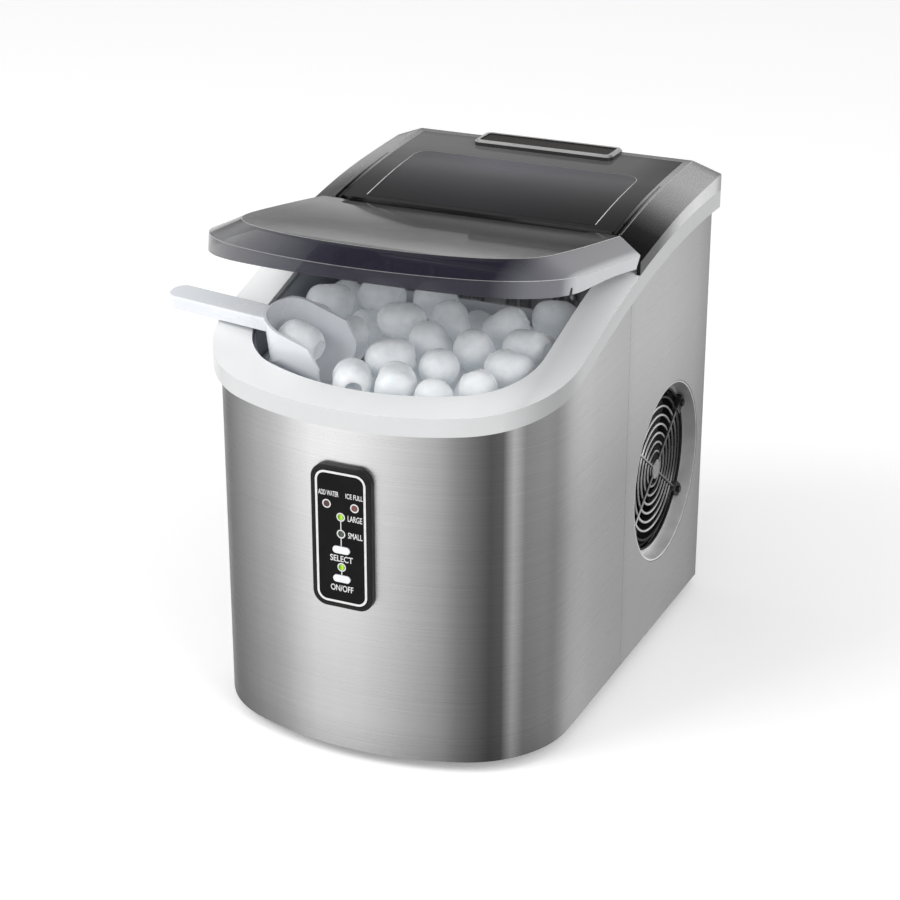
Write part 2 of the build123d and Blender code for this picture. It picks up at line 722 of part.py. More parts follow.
def lid_closed():
    """Smoked clear lid, as it lies when shut, with two ears that reach back to the hinge."""
    shell = lid_block(rim_overhang, 0.0)
    inner = lid_block(rim_overhang - lid_wall, lid_wall)
    seat = under(rim_profile, lid_seat_gap)
    shell = shell - inner - seat - lid_cut()
    step = block((-86.0, 86.0), (lid_rear_y - 20.0, lid_rear_y + 20.0), (0, 12.0))
    step = fillet(step.edges().filter_by(Axis.Z).group_by(Axis.Y)[0], 12.0)
    step_plane = Plane(origin=(0, lid_rear_y, lid_rear_top_z - 0.9), x_dir=(1, 0, 0),
                       z_dir=(0, -math.sin(lid_angle), math.cos(lid_angle)))
    shell -= step_plane * Pos(0, -lid_rear_y, 0) * step
    for x, y in bumper_spots:
        shell -= bumper_block(x, y, 0.15)
    ear = extrude(Plane.YZ * make_face(Polyline(
        (hinge_y, hinge_z - ear_hub_radius), (hinge_y, hinge_z + ear_hub_radius), (lid_rear_y - 1.0, 304.5),
        (-8.0, 302.0), (lid_rear_y - 4.0, hinge_z), close=True)), amount=ear_thickness)
    ear += rod((0, hinge_y, hinge_z), (1, 0, 0), ear_hub_radius, ear_thickness)
    ear -= rod((0, hinge_y, hinge_z), (1, 0, 0), hinge_pin_radius + running_gap, ear_thickness)
    return shell + mirror_pair(Pos(ear_outside - ear_thickness, 0, 0) * ear)


def opened(shape):
    """Turn a piece of the closed lid to its open rest position."""
    hinge = Axis((0, hinge_y, hinge_z), (1, 0, 0))
    return shape.rotate(hinge, -rest_opening)


def lid_shell():
    return opened(lid_closed())


hinge_boss_x = panel_half_width + 0.4
hinge_boss_wall = 3.0


def lid_hinge_pins():
    """Two steel pins that run through the lid's ears into the cover's bosses."""
    start = ear_outside - ear_thickness - 1.0
    pin = rod((start, hinge_y, hinge_z), (1, 0, 0), hinge_pin_radius, hinge_boss_x + hinge_boss_wall - start)
    pin += rod((start - 1.2, hinge_y, hinge_z), (1, 0, 0), hinge_pin_radius + 1.3, 1.2)
    return mirror_pair(pin)


def lid_bumpers():
    """Rubber bumpers let into the underside of the lid's edge."""
    return opened(Compound([bumper_block(x, y, 0.0) for x, y in bumper_spots]))


# ---------------------------------------------------------------- rear cover
crest_x = half_width + rim_overhang - crest_run
flank_slope = 0.4
groove_x = panel_half_width + 2.0
groove_width = 1.6
groove_depth = 1.4
groove_rear_y = 105.0
groove_hole_y = 40.0


def cover_form(offset, sink):
    """The cover's outer form, or its inner one: upright strips, sloping flanks and a flat-backed top."""
    rear = rear_y + rear_overhang - sink
    form = column(offset, 200, tank_top + 40, rear) & under(cover_profile, -sink)
    lean = flank_slope * reach
    raise_by = flank_slope * crest_x - sink
    points = [(y, z + raise_by) for y, z in cover_profile]
    first, last = points[0], points[-1]
    side = [Line((first[0] - 60, first[1]), first), Spline(*points), Line(last, (last[0] + 60, last[1])),
            Line((last[0] + 60, last[1]), (last[0] + 60, -300)),
            Line((last[0] + 60, -300), (first[0] - 60, -300)),
            Line((first[0] - 60, -300), (first[0] - 60, first[1]))]
    flank = extrude(Plane.YZ * make_face(side), amount=reach, dir=Vector(reach, 0, -lean))
    form &= flank + mirror(flank, about=Plane.YZ)
    bevel_z = cover_profile[-1][1] - 9.5 - sink
    back_cut = [(rear_y + 40, 200), (rear + 0.01, bevel_z), (rear - 7.0, bevel_z + 18.0),
                (rear + 40, bevel_z + 18.0 + sink)]
    return form - extrude(Plane.YZ * make_face(Polyline(*back_cut, close=True)), amount=reach, both=True)


def cover_frame():
    """Grey cover moulding: side strips and flanks, a ledge for the top panel and the hinge bosses."""
    clear = cover_form(rim_overhang - cover_wall, cover_wall)
    frame = cover_form(rim_overhang, 0.0) - clear
    recess = block((-panel_half_width, panel_half_width), (panel_front_y - 40, panel_rear_y), (250, 400))
    frame -= recess & under(cover_profile, 20.0)
    seat = under(cover_profile, -panel_thickness - 0.2)
    riser_y = panel_front_y + 0.3
    ledge = seat - under(cover_profile, -panel_thickness - cover_wall)
    ledge &= block((-panel_half_width - 1.0, panel_half_width + 1.0), (riser_y, panel_rear_y + 1.0),
                   (250, 400))
    hole = block((-window_half_width + ledge_under_window, window_half_width - ledge_under_window),
                 (window_front_y + ledge_under_window, window_rear_y - ledge_under_window), (250, 400))
    frame += ledge - hole
    shelf = block((-panel_half_width - 1.0, panel_half_width + 1.0), (cover_front_y, riser_y + riser_wall),
                  (shelf_z - cover_wall, shelf_z))
    riser = block((-panel_half_width - 1.0, panel_half_width + 1.0), (riser_y, riser_y + riser_wall),
                  (shelf_z - cover_wall, 400)) & seat
    frame += shelf + riser
    boss = block((hinge_boss_x, hinge_boss_x + hinge_boss_wall), (cover_front_y, panel_front_y + 5.0),
                 (shelf_z - cover_wall, 400))
    boss &= under(cover_profile, -1.0)
    frame += mirror_pair(boss)
    mouth = [(-30, 297.5), (cover_front_y - 0.01, 297.5), (panel_front_y - 1.0, 309.0),
             (panel_front_y - 1.0, 400), (-30, 400)]
    frame -= extrude(Plane.YZ * make_face(Polyline(*mouth, close=True)), amount=reach, both=True)
    hub = block((hinge_boss_x, hinge_boss_x + hinge_boss_wall), (hinge_y - 5.5, hinge_y + 5.5),
                (shelf_z - 1, hinge_z))
    hub += rod((hinge_boss_x, hinge_y, hinge_z), (1, 0, 0), 5.5, hinge_boss_wall)
    frame += mirror_pair(hub)
    frame -= rod((-hinge_boss_x - hinge_boss_wall - 0.5, hinge_y, hinge_z), (1, 0, 0),
                 hinge_pin_radius + running_gap, 2 * (hinge_boss_x + hinge_boss_wall + 0.5))
    frame -= block((-reach, reach), (-reach, cover_front_y), (0, 400))
    groove = block((groove_x, groove_x + groove_width), (0, groove_rear_y), (250, 400))
    groove += rod((groove_x + groove_width / 2, groove_hole_y, 250), (0, 0, 1), groove_width, 150)
    groove -= under(cover_profile, -groove_depth)
    return frame - mirror_pair(groove) - under(rim_profile)


def window_opening(grow):
    """The window's outline as an upright prism, grown by the gap round the lens."""
    outline = Rectangle(2 * (window_half_width + grow), window_rear_y - window_front_y + 2 * grow)
    outline = fillet(outline.vertices().group_by(Axis.Y)[-1], window_radius + grow)
    outline = fillet(outline.vertices().group_by(Axis.Y)[0], window_front_corner + grow)
    return Pos(0, (window_front_y + window_rear_y) / 2, 250) * extrude(outline, amount=150)


def top_skin(thickness):
    """A skin that lies flush with the top of the cover."""
    return under(cover_profile) - under(cover_profile, -thickness)


def cover_top_panel():
    """Gloss black top panel, open where the window sits."""
    area = block((-panel_half_width + fit_gap, panel_half_width - fit_gap),
                 (panel_front_y, panel_rear_y - fit_gap), (250, 400))
    return (top_skin(panel_thickness) & area) - window_opening(0.0)


def cover_window():
    """Smoked window over the ice-making chamber."""
    return top_skin(panel_thickness) & window_opening(-fit_gap)


def nameplate(grow, radius):
    """The nameplate's outline as an upright prism."""
    return Pos(0, nameplate_y, 300) * extrude(
        RectangleRounded(nameplate_width + 2 * grow, nameplate_depth + 2 * grow, radius), amount=100)


nameplate_top_z = profile_height(cover_profile, nameplate_y) + nameplate_rise


def nameplate_frame():
    """Bright raised frame at the back of the top."""
    frame = nameplate(0.0, 5.0) & block((-reach, reach), (0, reach), (250, nameplate_top_z))
    frame -= under(cover_profile)
    frame = chamfer(frame.edges().group_by(Axis.Z)[-1], 1.2)
    return frame - nameplate(-nameplate_border, 2.5)


def nameplate_inlay():
    """Blank dark plate inside the frame."""
    plate = nameplate(-nameplate_border - 0.15, 2.4)
    plate &= block((-reach, reach), (0, reach), (250, nameplate_top_z - 0.8))
    return plate - under(cover_profile)


# ---------------------------------------------------------------- control panel
panel_front = front_y - panel_stand_off


def control_housing():
    """Black panel housing that stands off the steel and holds the board behind it."""
    low, high = panel_center_z - panel_height / 2, panel_center_z + panel_height / 2
    plate = block((-panel_width / 2, panel_width / 2), (panel_front, front_y + 6.0), (low, high))
    plate = fillet(plate.edges().filter_by(Axis.Y), panel_round)
    front_edges = plate.edges().group_by(Axis.Y)[0]
    plate = fillet(front_edges, 1.0) - column(0.05, 0, 300)
    inner = panel_width / 2 - cutout_margin - fit_gap
    tall = panel_height / 2 - cutout_margin - fit_gap
    box = block((-inner, inner), (panel_front + 1.0, front_y + 9.5),
                (panel_center_z - tall, panel_center_z + tall))
    hollow = block((-inner + 1.5, inner - 1.5), (panel_front + panel_wall, front_y + 9.5),
                   (panel_center_z - tall + 1.5, panel_center_z + tall - 1.5))
    housing = plate + box - hollow
    return housing - led_holes(0.1) - button_holes(button_gap) - overlay_block(0.1)


def led_holes(grow):
    """Round holes, or the lenses in them, through the front of the panel."""
    return [rod((x, panel_front - 2.0, panel_center_z + z), (0, 1, 0), led_radius + grow, 8.0)
            for x, z in led_spots]


def button_holes(grow):
    """Pill-shaped holes through the front of the panel."""
    hole = pill(button_width + 2 * grow, button_height + 2 * grow, 10.0)
    return [Pos(0, panel_front - 4.0, panel_center_z + z) * hole for z in (select_button_z, power_button_z)]


def overlay_block(grow):
    """The printed face, or the shallow pocket it lies in."""
    margin = overlay_margin - grow
    outline = RectangleRounded(panel_width - 2 * margin, panel_height - 2 * margin, panel_round - margin)
    face = extrude(Plane.XZ * outline, amount=-(overlay_thickness + grow))
    return Pos(0, panel_front - (0.05 if grow else 0.0), panel_center_z) * face


def control_overlay():
    """Thin printed face of the panel."""
    return overlay_block(0.0) - led_holes(0.1) - button_holes(button_gap)


def led_lenses():
    """Small round indicator lenses."""
    lens = rod((0, panel_front - 0.4, 0), (0, 1, 0), led_radius, 5.0)
    lens = fillet(lens.edges().group_by(Axis.Y)[0], 0.35)
    return Compound([Pos(x, 0, panel_center_z + z) * lens for x, z in led_spots])


def button(z):
    """A pill-shaped key with a collar that keeps it behind the panel."""
    cap = pill(button_width, button_height, button_proud + panel_wall + 2.2)
    cap = fillet(cap.edges().group_by(Axis.Y)[0], 0.6)
    cap = Pos(0, panel_front - button_proud, 0) * cap
    collar = Pos(0, panel_front + panel_wall + 0.2, 0) * pill(button_width + 3.0, button_height + 2.6, 1.2)
    return Pos(0, 0, panel_center_z + z) * (cap + collar)


board_y = front_y + 6.2


def control_board():
    """Circuit board behind the panel with its lamps and key switches."""
    inner = panel_width / 2 - cutout_margin - fit_gap - 1.7
    tall = panel_height / 2 - cutout_margin - fit_gap - 1.7
    board = block((-inner, inner), (board_y, board_y + 1.6), (panel_center_z - tall, panel_center_z + tall))
    lamp_start = panel_front + 4.9
    for x, z in led_spots:
        board += rod((x, lamp_start, panel_center_z + z), (0, 1, 0), 1.5, board_y - lamp_start + 0.5)
    switch_front = panel_front + panel_wall + 2.2 + button_travel + 0.4
    for z in (panel_center_z + select_button_z, panel_center_z + power_button_z):
        board += block((-3.0, 3.0), (switch_front, board_y + 0.5), (z - 3.0, z + 3.0))
    foot_z = panel_center_z - tall + 2.0
    return board + block((-9.0, 9.0), (board_y + 1.0, board_y + 3.2), (foot_z, foot_z + 6.0))


# ---------------------------------------------------------------- vent, guard and fan
recess_x = half_width - vent_depth
guard_seat_x = recess_x + ring_floor
ring_inner_radius = vent_radius - fit_gap - ring_wall


def vent_ring():
    """Polished recess behind the round side opening."""
    ring = rod((recess_x, fan_y, fan_z), (1, 0, 0), vent_radius - fit_gap, vent_depth - 0.2)
    ring -= rod((guard_seat_x, fan_y, fan_z), (1, 0, 0), ring_inner_radius, vent_depth)
    ring -= rod((recess_x, fan_y, fan_z), (1, 0, 0), guard_rings * guard_pitch + guard_wire, vent_depth)
    return ring


def vent_guard():
    """Concentric wire rings behind two crossed spokes, which end in lugs screwed to the recess."""
    ring_x = guard_seat_x + guard_wire + 0.1
    spoke_x = ring_x + 0.7 * (guard_wire + spoke_wire)
    lug_middle = ring_inner_radius - 1.0 - lug_length / 2
    guard = rod((spoke_x - 1.2, fan_y, fan_z), (1, 0, 0), guard_hub_radius, 2.4)
    guard = fillet(guard.edges().group_by(Axis.X)[-1], 0.8)
    axis_plane = Plane(origin=(ring_x, fan_y, fan_z), z_dir=(1, 0, 0))
    for i in range(1, guard_rings + 1):
        guard += axis_plane * Torus(i * guard_pitch, guard_wire)
    for turn in (spoke_turn, 180 - spoke_turn, 180 + spoke_turn, -spoke_turn):
        c, s = math.cos(math.radians(turn)), math.sin(math.radians(turn))
        guard += rod((spoke_x, fan_y, fan_z), (0, c, s), spoke_wire, lug_middle)
        spot = Pos(guard_seat_x + lug_height / 2, fan_y, fan_z) * Rot(turn, 0, 0)
        lug = spot * Pos(0, lug_middle, 0) * Box(lug_height, lug_length, lug_width)
        guard += fillet(lug.edges().filter_by(Axis.X), 2.0)
        screw_y, screw_z = fan_y + c * (lug_middle + 1.5), fan_z + s * (lug_middle + 1.5)
        guard += rod((guard_seat_x + lug_height, screw_y, screw_z), (1, 0, 0), lug_screw_radius, 1.6)
    return guard


fan_front_x = recess_x - fan_to_guard
motor_face_x = fan_front_x - fan_hub_depth - 2.0


def fan_blades():
    """Axial fan with its shaft: a cup-shaped hub and swept twisted blades."""
    hub_back = fan_front_x - fan_hub_depth
    fan = rod((hub_back, fan_y, fan_z), (1, 0, 0), fan_hub_radius, fan_hub_depth)
    fan = fillet(fan.edges().group_by(Axis.X)[-1], 2.0)
    blade = extrude(RectangleRounded(19.0, fan_radius - fan_hub_radius + 3.0, 7.0), amount=1.6)
    mid = (fan_hub_radius - 2.0 + fan_radius) / 2
    for i in range(fan_blades_count):
        turn = 360.0 * i / fan_blades_count
        spot = Pos(hub_back + fan_hub_depth / 2, fan_y, fan_z) * Rot(turn, 0, 0)
        fan += spot * Pos(0, mid, 0) * Rot(0, 62, 0) * Pos(0, 0, -0.8) * blade
    fan &= rod((hub_back - 1.0, fan_y, fan_z), (1, 0, 0), fan_radius, fan_hub_depth + 1.0)
    shaft_low = motor_face_x - 12.0
    return fan + rod((shaft_low, fan_y, fan_z), (1, 0, 0), shaft_radius, fan_front_x - 4.0 - shaft_low)


def fan_motor():
    """Shaded-pole fan motor, a round can with a bearing boss."""
    can = rod((motor_face_x - motor_length, fan_y, fan_z), (1, 0, 0), motor_radius, motor_length)
    can = fillet(can.edges().filter_by(GeomType.CIRCLE), 2.0)
    return can - rod((motor_face_x - 13.0, fan_y, fan_z), (1, 0, 0), shaft_radius + running_gap, 14.0)


shroud_inner = fan_radius + 2.5
shroud_wall = 2.0


def fan_shroud():
    """Fan duct on four arms that hold the motor, standing on the pan."""
    back = motor_face_x
    duct = rod((back, fan_y, fan_z), (1, 0, 0), shroud_inner + shroud_wall, recess_x - 0.4 - back)
    duct -= rod((back, fan_y, fan_z), (1, 0, 0), shroud_inner, recess_x - back)
    collar = rod((back - 9.0, fan_y, fan_z), (1, 0, 0), motor_radius + 2.5, 8.0)
    collar -= rod((back - 9.0, fan_y, fan_z), (1, 0, 0), motor_radius + 0.2, 9.0)
    arms = []
    for turn in (45, 135, 225, 315):
        arm = block((back - 6.0, back - 1.0), (motor_radius + 1.0, shroud_inner + 1.0), (-3.0, 3.0))
        foot = block((back - 6.0, back + 3.0), (shroud_inner + 0.3, shroud_inner + shroud_wall - 0.2),
                     (-3.0, 3.0))
        arms.append(Pos(0, fan_y, fan_z) * Rot(turn, 0, 0) * (arm + foot))
    leg = block((back, back + 3.0), (fan_y - 30.0, fan_y + 30.0),
                (pan_floor_top, fan_z - shroud_inner + 16.0))
    leg -= rod((back - 1, fan_y, fan_z), (1, 0, 0), shroud_inner + 0.5, 10)
    leg += block((back, back + 14.0), (fan_y - 30.0, fan_y + 30.0), (pan_floor_top, pan_floor_top + 2.0))
    return duct + collar + arms + leg


# ---------------------------------------------------------------- refrigeration
condenser_top_z = condenser_base_z + condenser_height
pass_pitch = condenser_height / coil_passes
pass_heights = [condenser_base_z + pass_pitch * (i + 0.5) for i in range(coil_passes)]


def condenser_fins():
    """Stack of aluminium fins with punched tube holes and two end plates that stand on the pan."""
    side = (condenser_x - condenser_thickness / 2, condenser_x + condenser_thickness / 2)
    fin = block(side, (-fin_thickness / 2, fin_thickness / 2), (condenser_base_z, condenser_top_z))
    fin -= [rod((condenser_x, -2, z), (0, 1, 0), coil_radius + 0.1, 4) for z in pass_heights]
    gap = condenser_width / (fin_count - 1)
    start = fan_y - condenser_width / 2
    fins = [Pos(0, start + gap * i, 0) * fin for i in range(1, fin_count - 1)]
    plate = block(side, (-0.75, 0.75), (pan_floor_top, condenser_top_z + 3.0))
    plate -= [rod((condenser_x, -2, z), (0, 1, 0), coil_radius + 0.1, 4) for z in pass_heights]
    return Compound(fins + [Pos(0, start, 0) * plate, Pos(0, start + condenser_width, 0) * plate])


def condenser_coil():
    """Copper serpentine through the fins, with both ends at the back."""
    bend = pass_pitch / 2 - 0.05
    ends = (fan_y - condenser_width / 2 - 4.0 - bend, fan_y + condenser_width / 2 + 4.0 + bend)
    points = [(condenser_x, coil_end_y, pass_heights[0])]
    for i in range(coil_passes - 1):
        points.append((condenser_x, ends[i % 2], pass_heights[i]))
        points.append((condenser_x, ends[i % 2], pass_heights[i + 1]))
    points.append((condenser_x, coil_end_y, pass_heights[-1]))
    return pipe(points, coil_radius, bend)


compressor_low = pan_floor_top + grommet_height + 2.0
stub_top = compressor_low + compressor_height + 6.0
discharge_spot = (compressor_x + 24.0, compressor_y)
suction_spot = (lead_x, compressor_y + 4.0)
stud_radius = 3.0


def compressor_shell():
    """Sealed compressor can with a welded seam, a foot plate and three stub pipes."""
    can = rod((compressor_x, compressor_y, compressor_low), (0, 0, 1), compressor_radius, compressor_height)
    can = fillet(can.edges().group_by(Axis.Z)[-1], 22.0)
    can = fillet(can.edges().group_by(Axis.Z)[0], 14.0)
    seam = rod((compressor_x, compressor_y, compressor_low + 70.0), (0, 0, 1), compressor_radius + 1.6, 4.0)
    width = grommet_reach * math.sqrt(2) + 2 * grommet_radius
    plate = extrude(RectangleRounded(width, width, grommet_radius), amount=2.0)
    plate = Pos(compressor_x, compressor_y, compressor_low - 2.0) * plate
    for x, y in grommet_spots:
        plate -= rod((x, y, 0), (0, 0, 1), stud_radius + 0.2, 60)
    stub_low = compressor_low + compressor_height / 2
    stubs = [rod((*spot, stub_low), (0, 0, 1), line_radius + 1.2, stub_top - stub_low)
             for spot in (suction_spot, discharge_spot)]
    return can + seam + plate + stubs


def compressor_mounts():
    """Rubber grommets and their studs under the compressor's foot plate."""
    grommets = []
    for x, y in grommet_spots:
        grommet = rod((x, y, pan_floor_top), (0, 0, 1), grommet_radius, grommet_height)
        grommet = grommet - rod((x, y, pan_floor_top + 3.0), (0, 0, 1), grommet_radius + 1, 2.0)
        grommet += rod((x, y, pan_floor_top), (0, 0, 1), grommet_radius - 2.0, grommet_height)
        grommet += rod((x, y, pan_floor_top), (0, 0, 1), stud_radius, grommet_height + 6.0)
        grommets.append(grommet)
    return Compound(grommets)


terminal_size = (30.0, 12.0, 34.0)


def terminal_cover():
    """Black cover over the compressor's terminals and start relay."""
    w, d, h = terminal_size
    low_z = compressor_low + 24.0
    face_y = compressor_y - compressor_radius
    cover = block((compressor_x - w / 2, compressor_x + w / 2), (face_y - d, face_y + 8.0),
                  (low_z, low_z + h))
    cover = fillet(cover.edges().filter_by(Axis.Z).group_by(Axis.Y)[0], 4.0)
    return cover - rod((compressor_x, compressor_y, 0), (0, 0, 1), compressor_radius + 0.2, 200)


coil_end_y = fan_y + condenser_width / 2 + 7.0
drier_x, drier_y = 8.0, coil_end_y + 9.0
drier_radius = 9.0
drier_low = pass_heights[0] + 14.0
drier_high = drier_low + 64.0
main_line_z = 192.0
valve_spot = (drier_x, compressor_y + 22.0, 206.0)
valve_radius = 8.0


def filter_drier():
    """Copper filter drier with tapered ends, standing behind the condenser."""
    body = rod((drier_x, drier_y, drier_low), (0, 0, 1), drier_radius, drier_high - drier_low)
    return chamfer(body.edges().filter_by(GeomType.CIRCLE), 5.0)


def hot_gas_valve():
    """Solenoid valve for the harvest gas: a brass body under a square coil."""
    x, y, z = valve_spot
    body = rod((x, y, main_line_z - valve_radius), (0, 0, 1), valve_radius, z - main_line_z + valve_radius)
    coil = block((x - 14.0, x + 14.0), (y - 12.0, y + 12.0), (z, z + 26.0))
    coil = fillet(coil.edges().filter_by(Axis.Z), 3.0)
    outlet = rod((x, y, main_line_z), (-1, 0, 0), line_radius + 1.2, valve_radius + 5.0)
    return body + coil + outlet + rod((x, y, z + 25.0), (0, 0, 1), 5.0, 5.0)


lead_top_z = 302.5
manifold_front_y = pivot_y - manifold_half_pitch
manifold_rear_y = pivot_y + manifold_half_pitch
lead_drop_y = chamber_rear_y + liner_wall + 12.0
lead_low_z = manifold_z + 14.0


def evaporator():
    """U-shaped evaporator tube with nine freezing fingers and two leads that rise over the chamber wall."""
    path = [(lead_x, manifold_front_y, manifold_z + 14.0), (lead_x, manifold_front_y, manifold_z),
            (end_x, manifold_front_y, manifold_z), (end_x, manifold_rear_y, manifold_z),
            (lead_x, manifold_rear_y, manifold_z), (lead_x, manifold_rear_y, manifold_z + 14.0)]
    tube = pipe(path, manifold_radius, manifold_half_pitch - 0.5)
    finger = rod((0, 0, finger_tip_z), (0, 0, 1), finger_radius, manifold_z - finger_tip_z)
    finger = fillet(finger.edges().group_by(Axis.Z)[0], finger_radius - 0.6)
    spots = [(-finger_pitch * 2 + finger_pitch * i, manifold_front_y) for i in range(5)]
    spots += [(-finger_pitch * 1.5 + finger_pitch * i, manifold_rear_y) for i in range(4)]
    for x, y in spots:
        tube += Pos(x, y, 0) * finger
    return tube


def evaporator_bracket():
    """Strap across the chamber with two saddles that hold the evaporator."""
    side = liner_inner_half - 0.2
    strap_z = manifold_z + 15.0
    strap = block((-side, side), (pivot_y - 5.0, pivot_y + 5.0), (strap_z, strap_z + 2.0))
    for x in (-50.0, 50.0):
        post = block((x - 4.0, x + 4.0), (pivot_y - 3.0, pivot_y + 3.0), (manifold_z - 3.0, strap_z + 1.0))
        saddle = block((x - 4.0, x + 4.0), (manifold_front_y - 3.0, manifold_rear_y + 3.0),
                       (manifold_z + manifold_radius + 0.1, manifold_z + manifold_radius + 2.1))
        strap += post + saddle
    strap -= [rod((-side, y, manifold_z), (1, 0, 0), manifold_radius + 0.1, 2 * side)
              for y in (manifold_front_y, manifold_rear_y)]
    for x in (-side, side - 2.0):
        strap += block((x, x + 2.0), (pivot_y - 5.0, pivot_y + 5.0), (strap_z - 9.0, strap_z + 2.0))
    return strap


def refrigerant_lines():
    """Copper pipework between compressor, condenser, drier, valve and evaporator."""
    x, y = valve_spot[:2]
    hot_x = lead_x + 14.0
    suction = pipe([(lead_x, manifold_rear_y, lead_low_z), (lead_x, manifold_rear_y, lead_top_z),
                    (lead_x, suction_spot[1], lead_top_z), (*suction_spot, stub_top)], line_radius, 8.0)
    harvest = pipe([(lead_x, manifold_front_y, lead_low_z), (lead_x, manifold_front_y, lead_top_z - 8.0),
                    (hot_x, manifold_front_y, lead_top_z - 8.0), (hot_x, lead_drop_y, lead_top_z),
                    (hot_x, lead_drop_y, main_line_z), (hot_x, y, main_line_z),
                    (x - valve_radius - 5.0, y, main_line_z)], line_radius, 6.0)
    capillary = pipe([(drier_x, drier_y, drier_high), (drier_x, drier_y, 240.0), (hot_x, drier_y, 240.0),
                      (hot_x, lead_drop_y, 240.0)], line_radius / 2, 6.0)
    discharge = pipe([(*discharge_spot, stub_top), (*discharge_spot, main_line_z),
                      (condenser_x, compressor_y, main_line_z), (condenser_x, drier_y, main_line_z),
                      (condenser_x, drier_y, pass_heights[-1]),
                      (condenser_x, coil_end_y, pass_heights[-1])], line_radius, 6.0)
    branch = rod((x, compressor_y, main_line_z), (0, 1, 0), line_radius,
                 y - valve_radius - 0.1 - compressor_y)
    liquid = pipe([(condenser_x, coil_end_y, pass_heights[0]), (condenser_x, drier_y, pass_heights[0]),
                   (drier_x, drier_y, pass_heights[0]), (drier_x, drier_y, drier_low)], line_radius, 6.0)
    return Compound([suction, harvest + capillary, discharge + branch, liquid])


# ---------------------------------------------------------------- chamber: trough, shovel, motor, pump
trough_outer_radius = trough_inner_radius + trough_wall


def water_trough():
    """Half-round tray under the fingers, on trunnions at its axis."""
    low = (-trough_half_length, pivot_y, pivot_z)
    tray = rod(low, (1, 0, 0), trough_outer_radius, 2 * trough_half_length)
    tray -= rod((low[0] + 1.8, pivot_y, pivot_z), (1, 0, 0), trough_inner_radius,
                2 * trough_half_length - 3.6)
    tray &= block((-reach, reach), (-reach, reach), (0, pivot_z))
    cheek = rod((trough_half_length - 1.8, pivot_y, pivot_z), (1, 0, 0), 8.0, 1.8)
    pin = rod((trough_half_length - 1.0, pivot_y, pivot_z), (1, 0, 0), trunnion_radius,
              liner_outer_half - trough_half_length + 3.0)
    return tray + mirror_pair(cheek + pin)


shovel_radius = trough_outer_radius + shovel_gap
arm_x = trough_half_length + 2.2
arm_thickness = 2.6


def ice_shovel():
    """Curved rake that sweeps ice forward, on two arms that turn round the trough's trunnions."""
    blade = rod((-arm_x - arm_thickness, pivot_y, pivot_z), (1, 0, 0), shovel_radius + shovel_wall,
                2 * (arm_x + arm_thickness))
    blade -= rod((-reach, pivot_y, pivot_z), (1, 0, 0), shovel_radius, 2 * reach)
    corners = [(60 * math.cos(math.radians(turn)), 60 * math.sin(math.radians(turn))) for turn in (-28, -72)]
    wedge = extrude(Plane.YZ * make_face(Polyline((0, 0), *corners, close=True)), amount=reach, both=True)
    wedge = Pos(0, pivot_y, pivot_z) * wedge
    blade &= wedge
    arm = rod((arm_x, pivot_y, pivot_z), (1, 0, 0), shovel_radius + shovel_wall, arm_thickness) & wedge
    arm += rod((arm_x, pivot_y, pivot_z), (1, 0, 0), 6.5, arm_thickness)
    arm -= rod((arm_x - 1, pivot_y, pivot_z), (1, 0, 0), trunnion_radius + running_gap, arm_thickness + 2)
    return blade + mirror_pair(arm)


def trough_motor():
    """Flat synchronous gear motor outside the chamber's right wall."""
    start = liner_outer_half + 0.3
    motor = rod((start, pivot_y, pivot_z), (1, 0, 0), 20.0, 14.0)
    lug = block((start, start + 2.0), (pivot_y - 28.0, pivot_y + 28.0), (pivot_z - 5.0, pivot_z + 5.0))
    return motor + lug - rod((start, pivot_y, pivot_z), (1, 0, 0), trunnion_radius + running_gap, 6.0)


pump_x, pump_y = outlet_x, 34.0
pump_radius = 17.0
pump_height = 40.0


def water_pump():
    """Small round pump on the pan, with a side inlet and a side outlet."""
    pump = rod((pump_x, pump_y, pan_floor_top), (0, 0, 1), pump_radius, pump_height)
    pump = fillet(pump.edges().group_by(Axis.Z)[-1], 2.5)
    pump += rod((pump_x, pump_y, outlet_z), (0, -1, 0), hose_radius - 1.3,
                pump_y - tank_rear_y - liner_wall - 1.0)
    nozzle_x = pump_x - pump_radius + 2.0
    return pump + rod((nozzle_x, pump_y, pan_floor_top + 12.0), (-1, 0, 0), hose_radius - 1.3, 2.2)


def water_hoses():
    """Hoses from the tank to the pump and from the pump up to the chamber."""
    intake = rod((outlet_x, tank_rear_y + liner_wall + 0.2, outlet_z), (0, 1, 0), hose_radius,
                 pump_y - pump_radius - tank_rear_y - liner_wall - 0.6)
    intake -= rod((outlet_x, 0, outlet_z), (0, 1, 0), hose_radius - 1.2, 60)
    start = (pump_x - pump_radius - 0.4, pump_y, pan_floor_top + 12.0)
    riser_x = start[0] - 7.5
    route = [start, (riser_x, pump_y, start[2]), (riser_x, pump_y, 196.0), (*water_inlet, 196.0),
             (*water_inlet, chamber_floor_z + 3.0)]
    riser = pipe(route, hose_radius, 6.0)
    return Compound([intake, riser])


board_place_y = 24.0
board_low_z, board_high_z = 52.0, 176.0


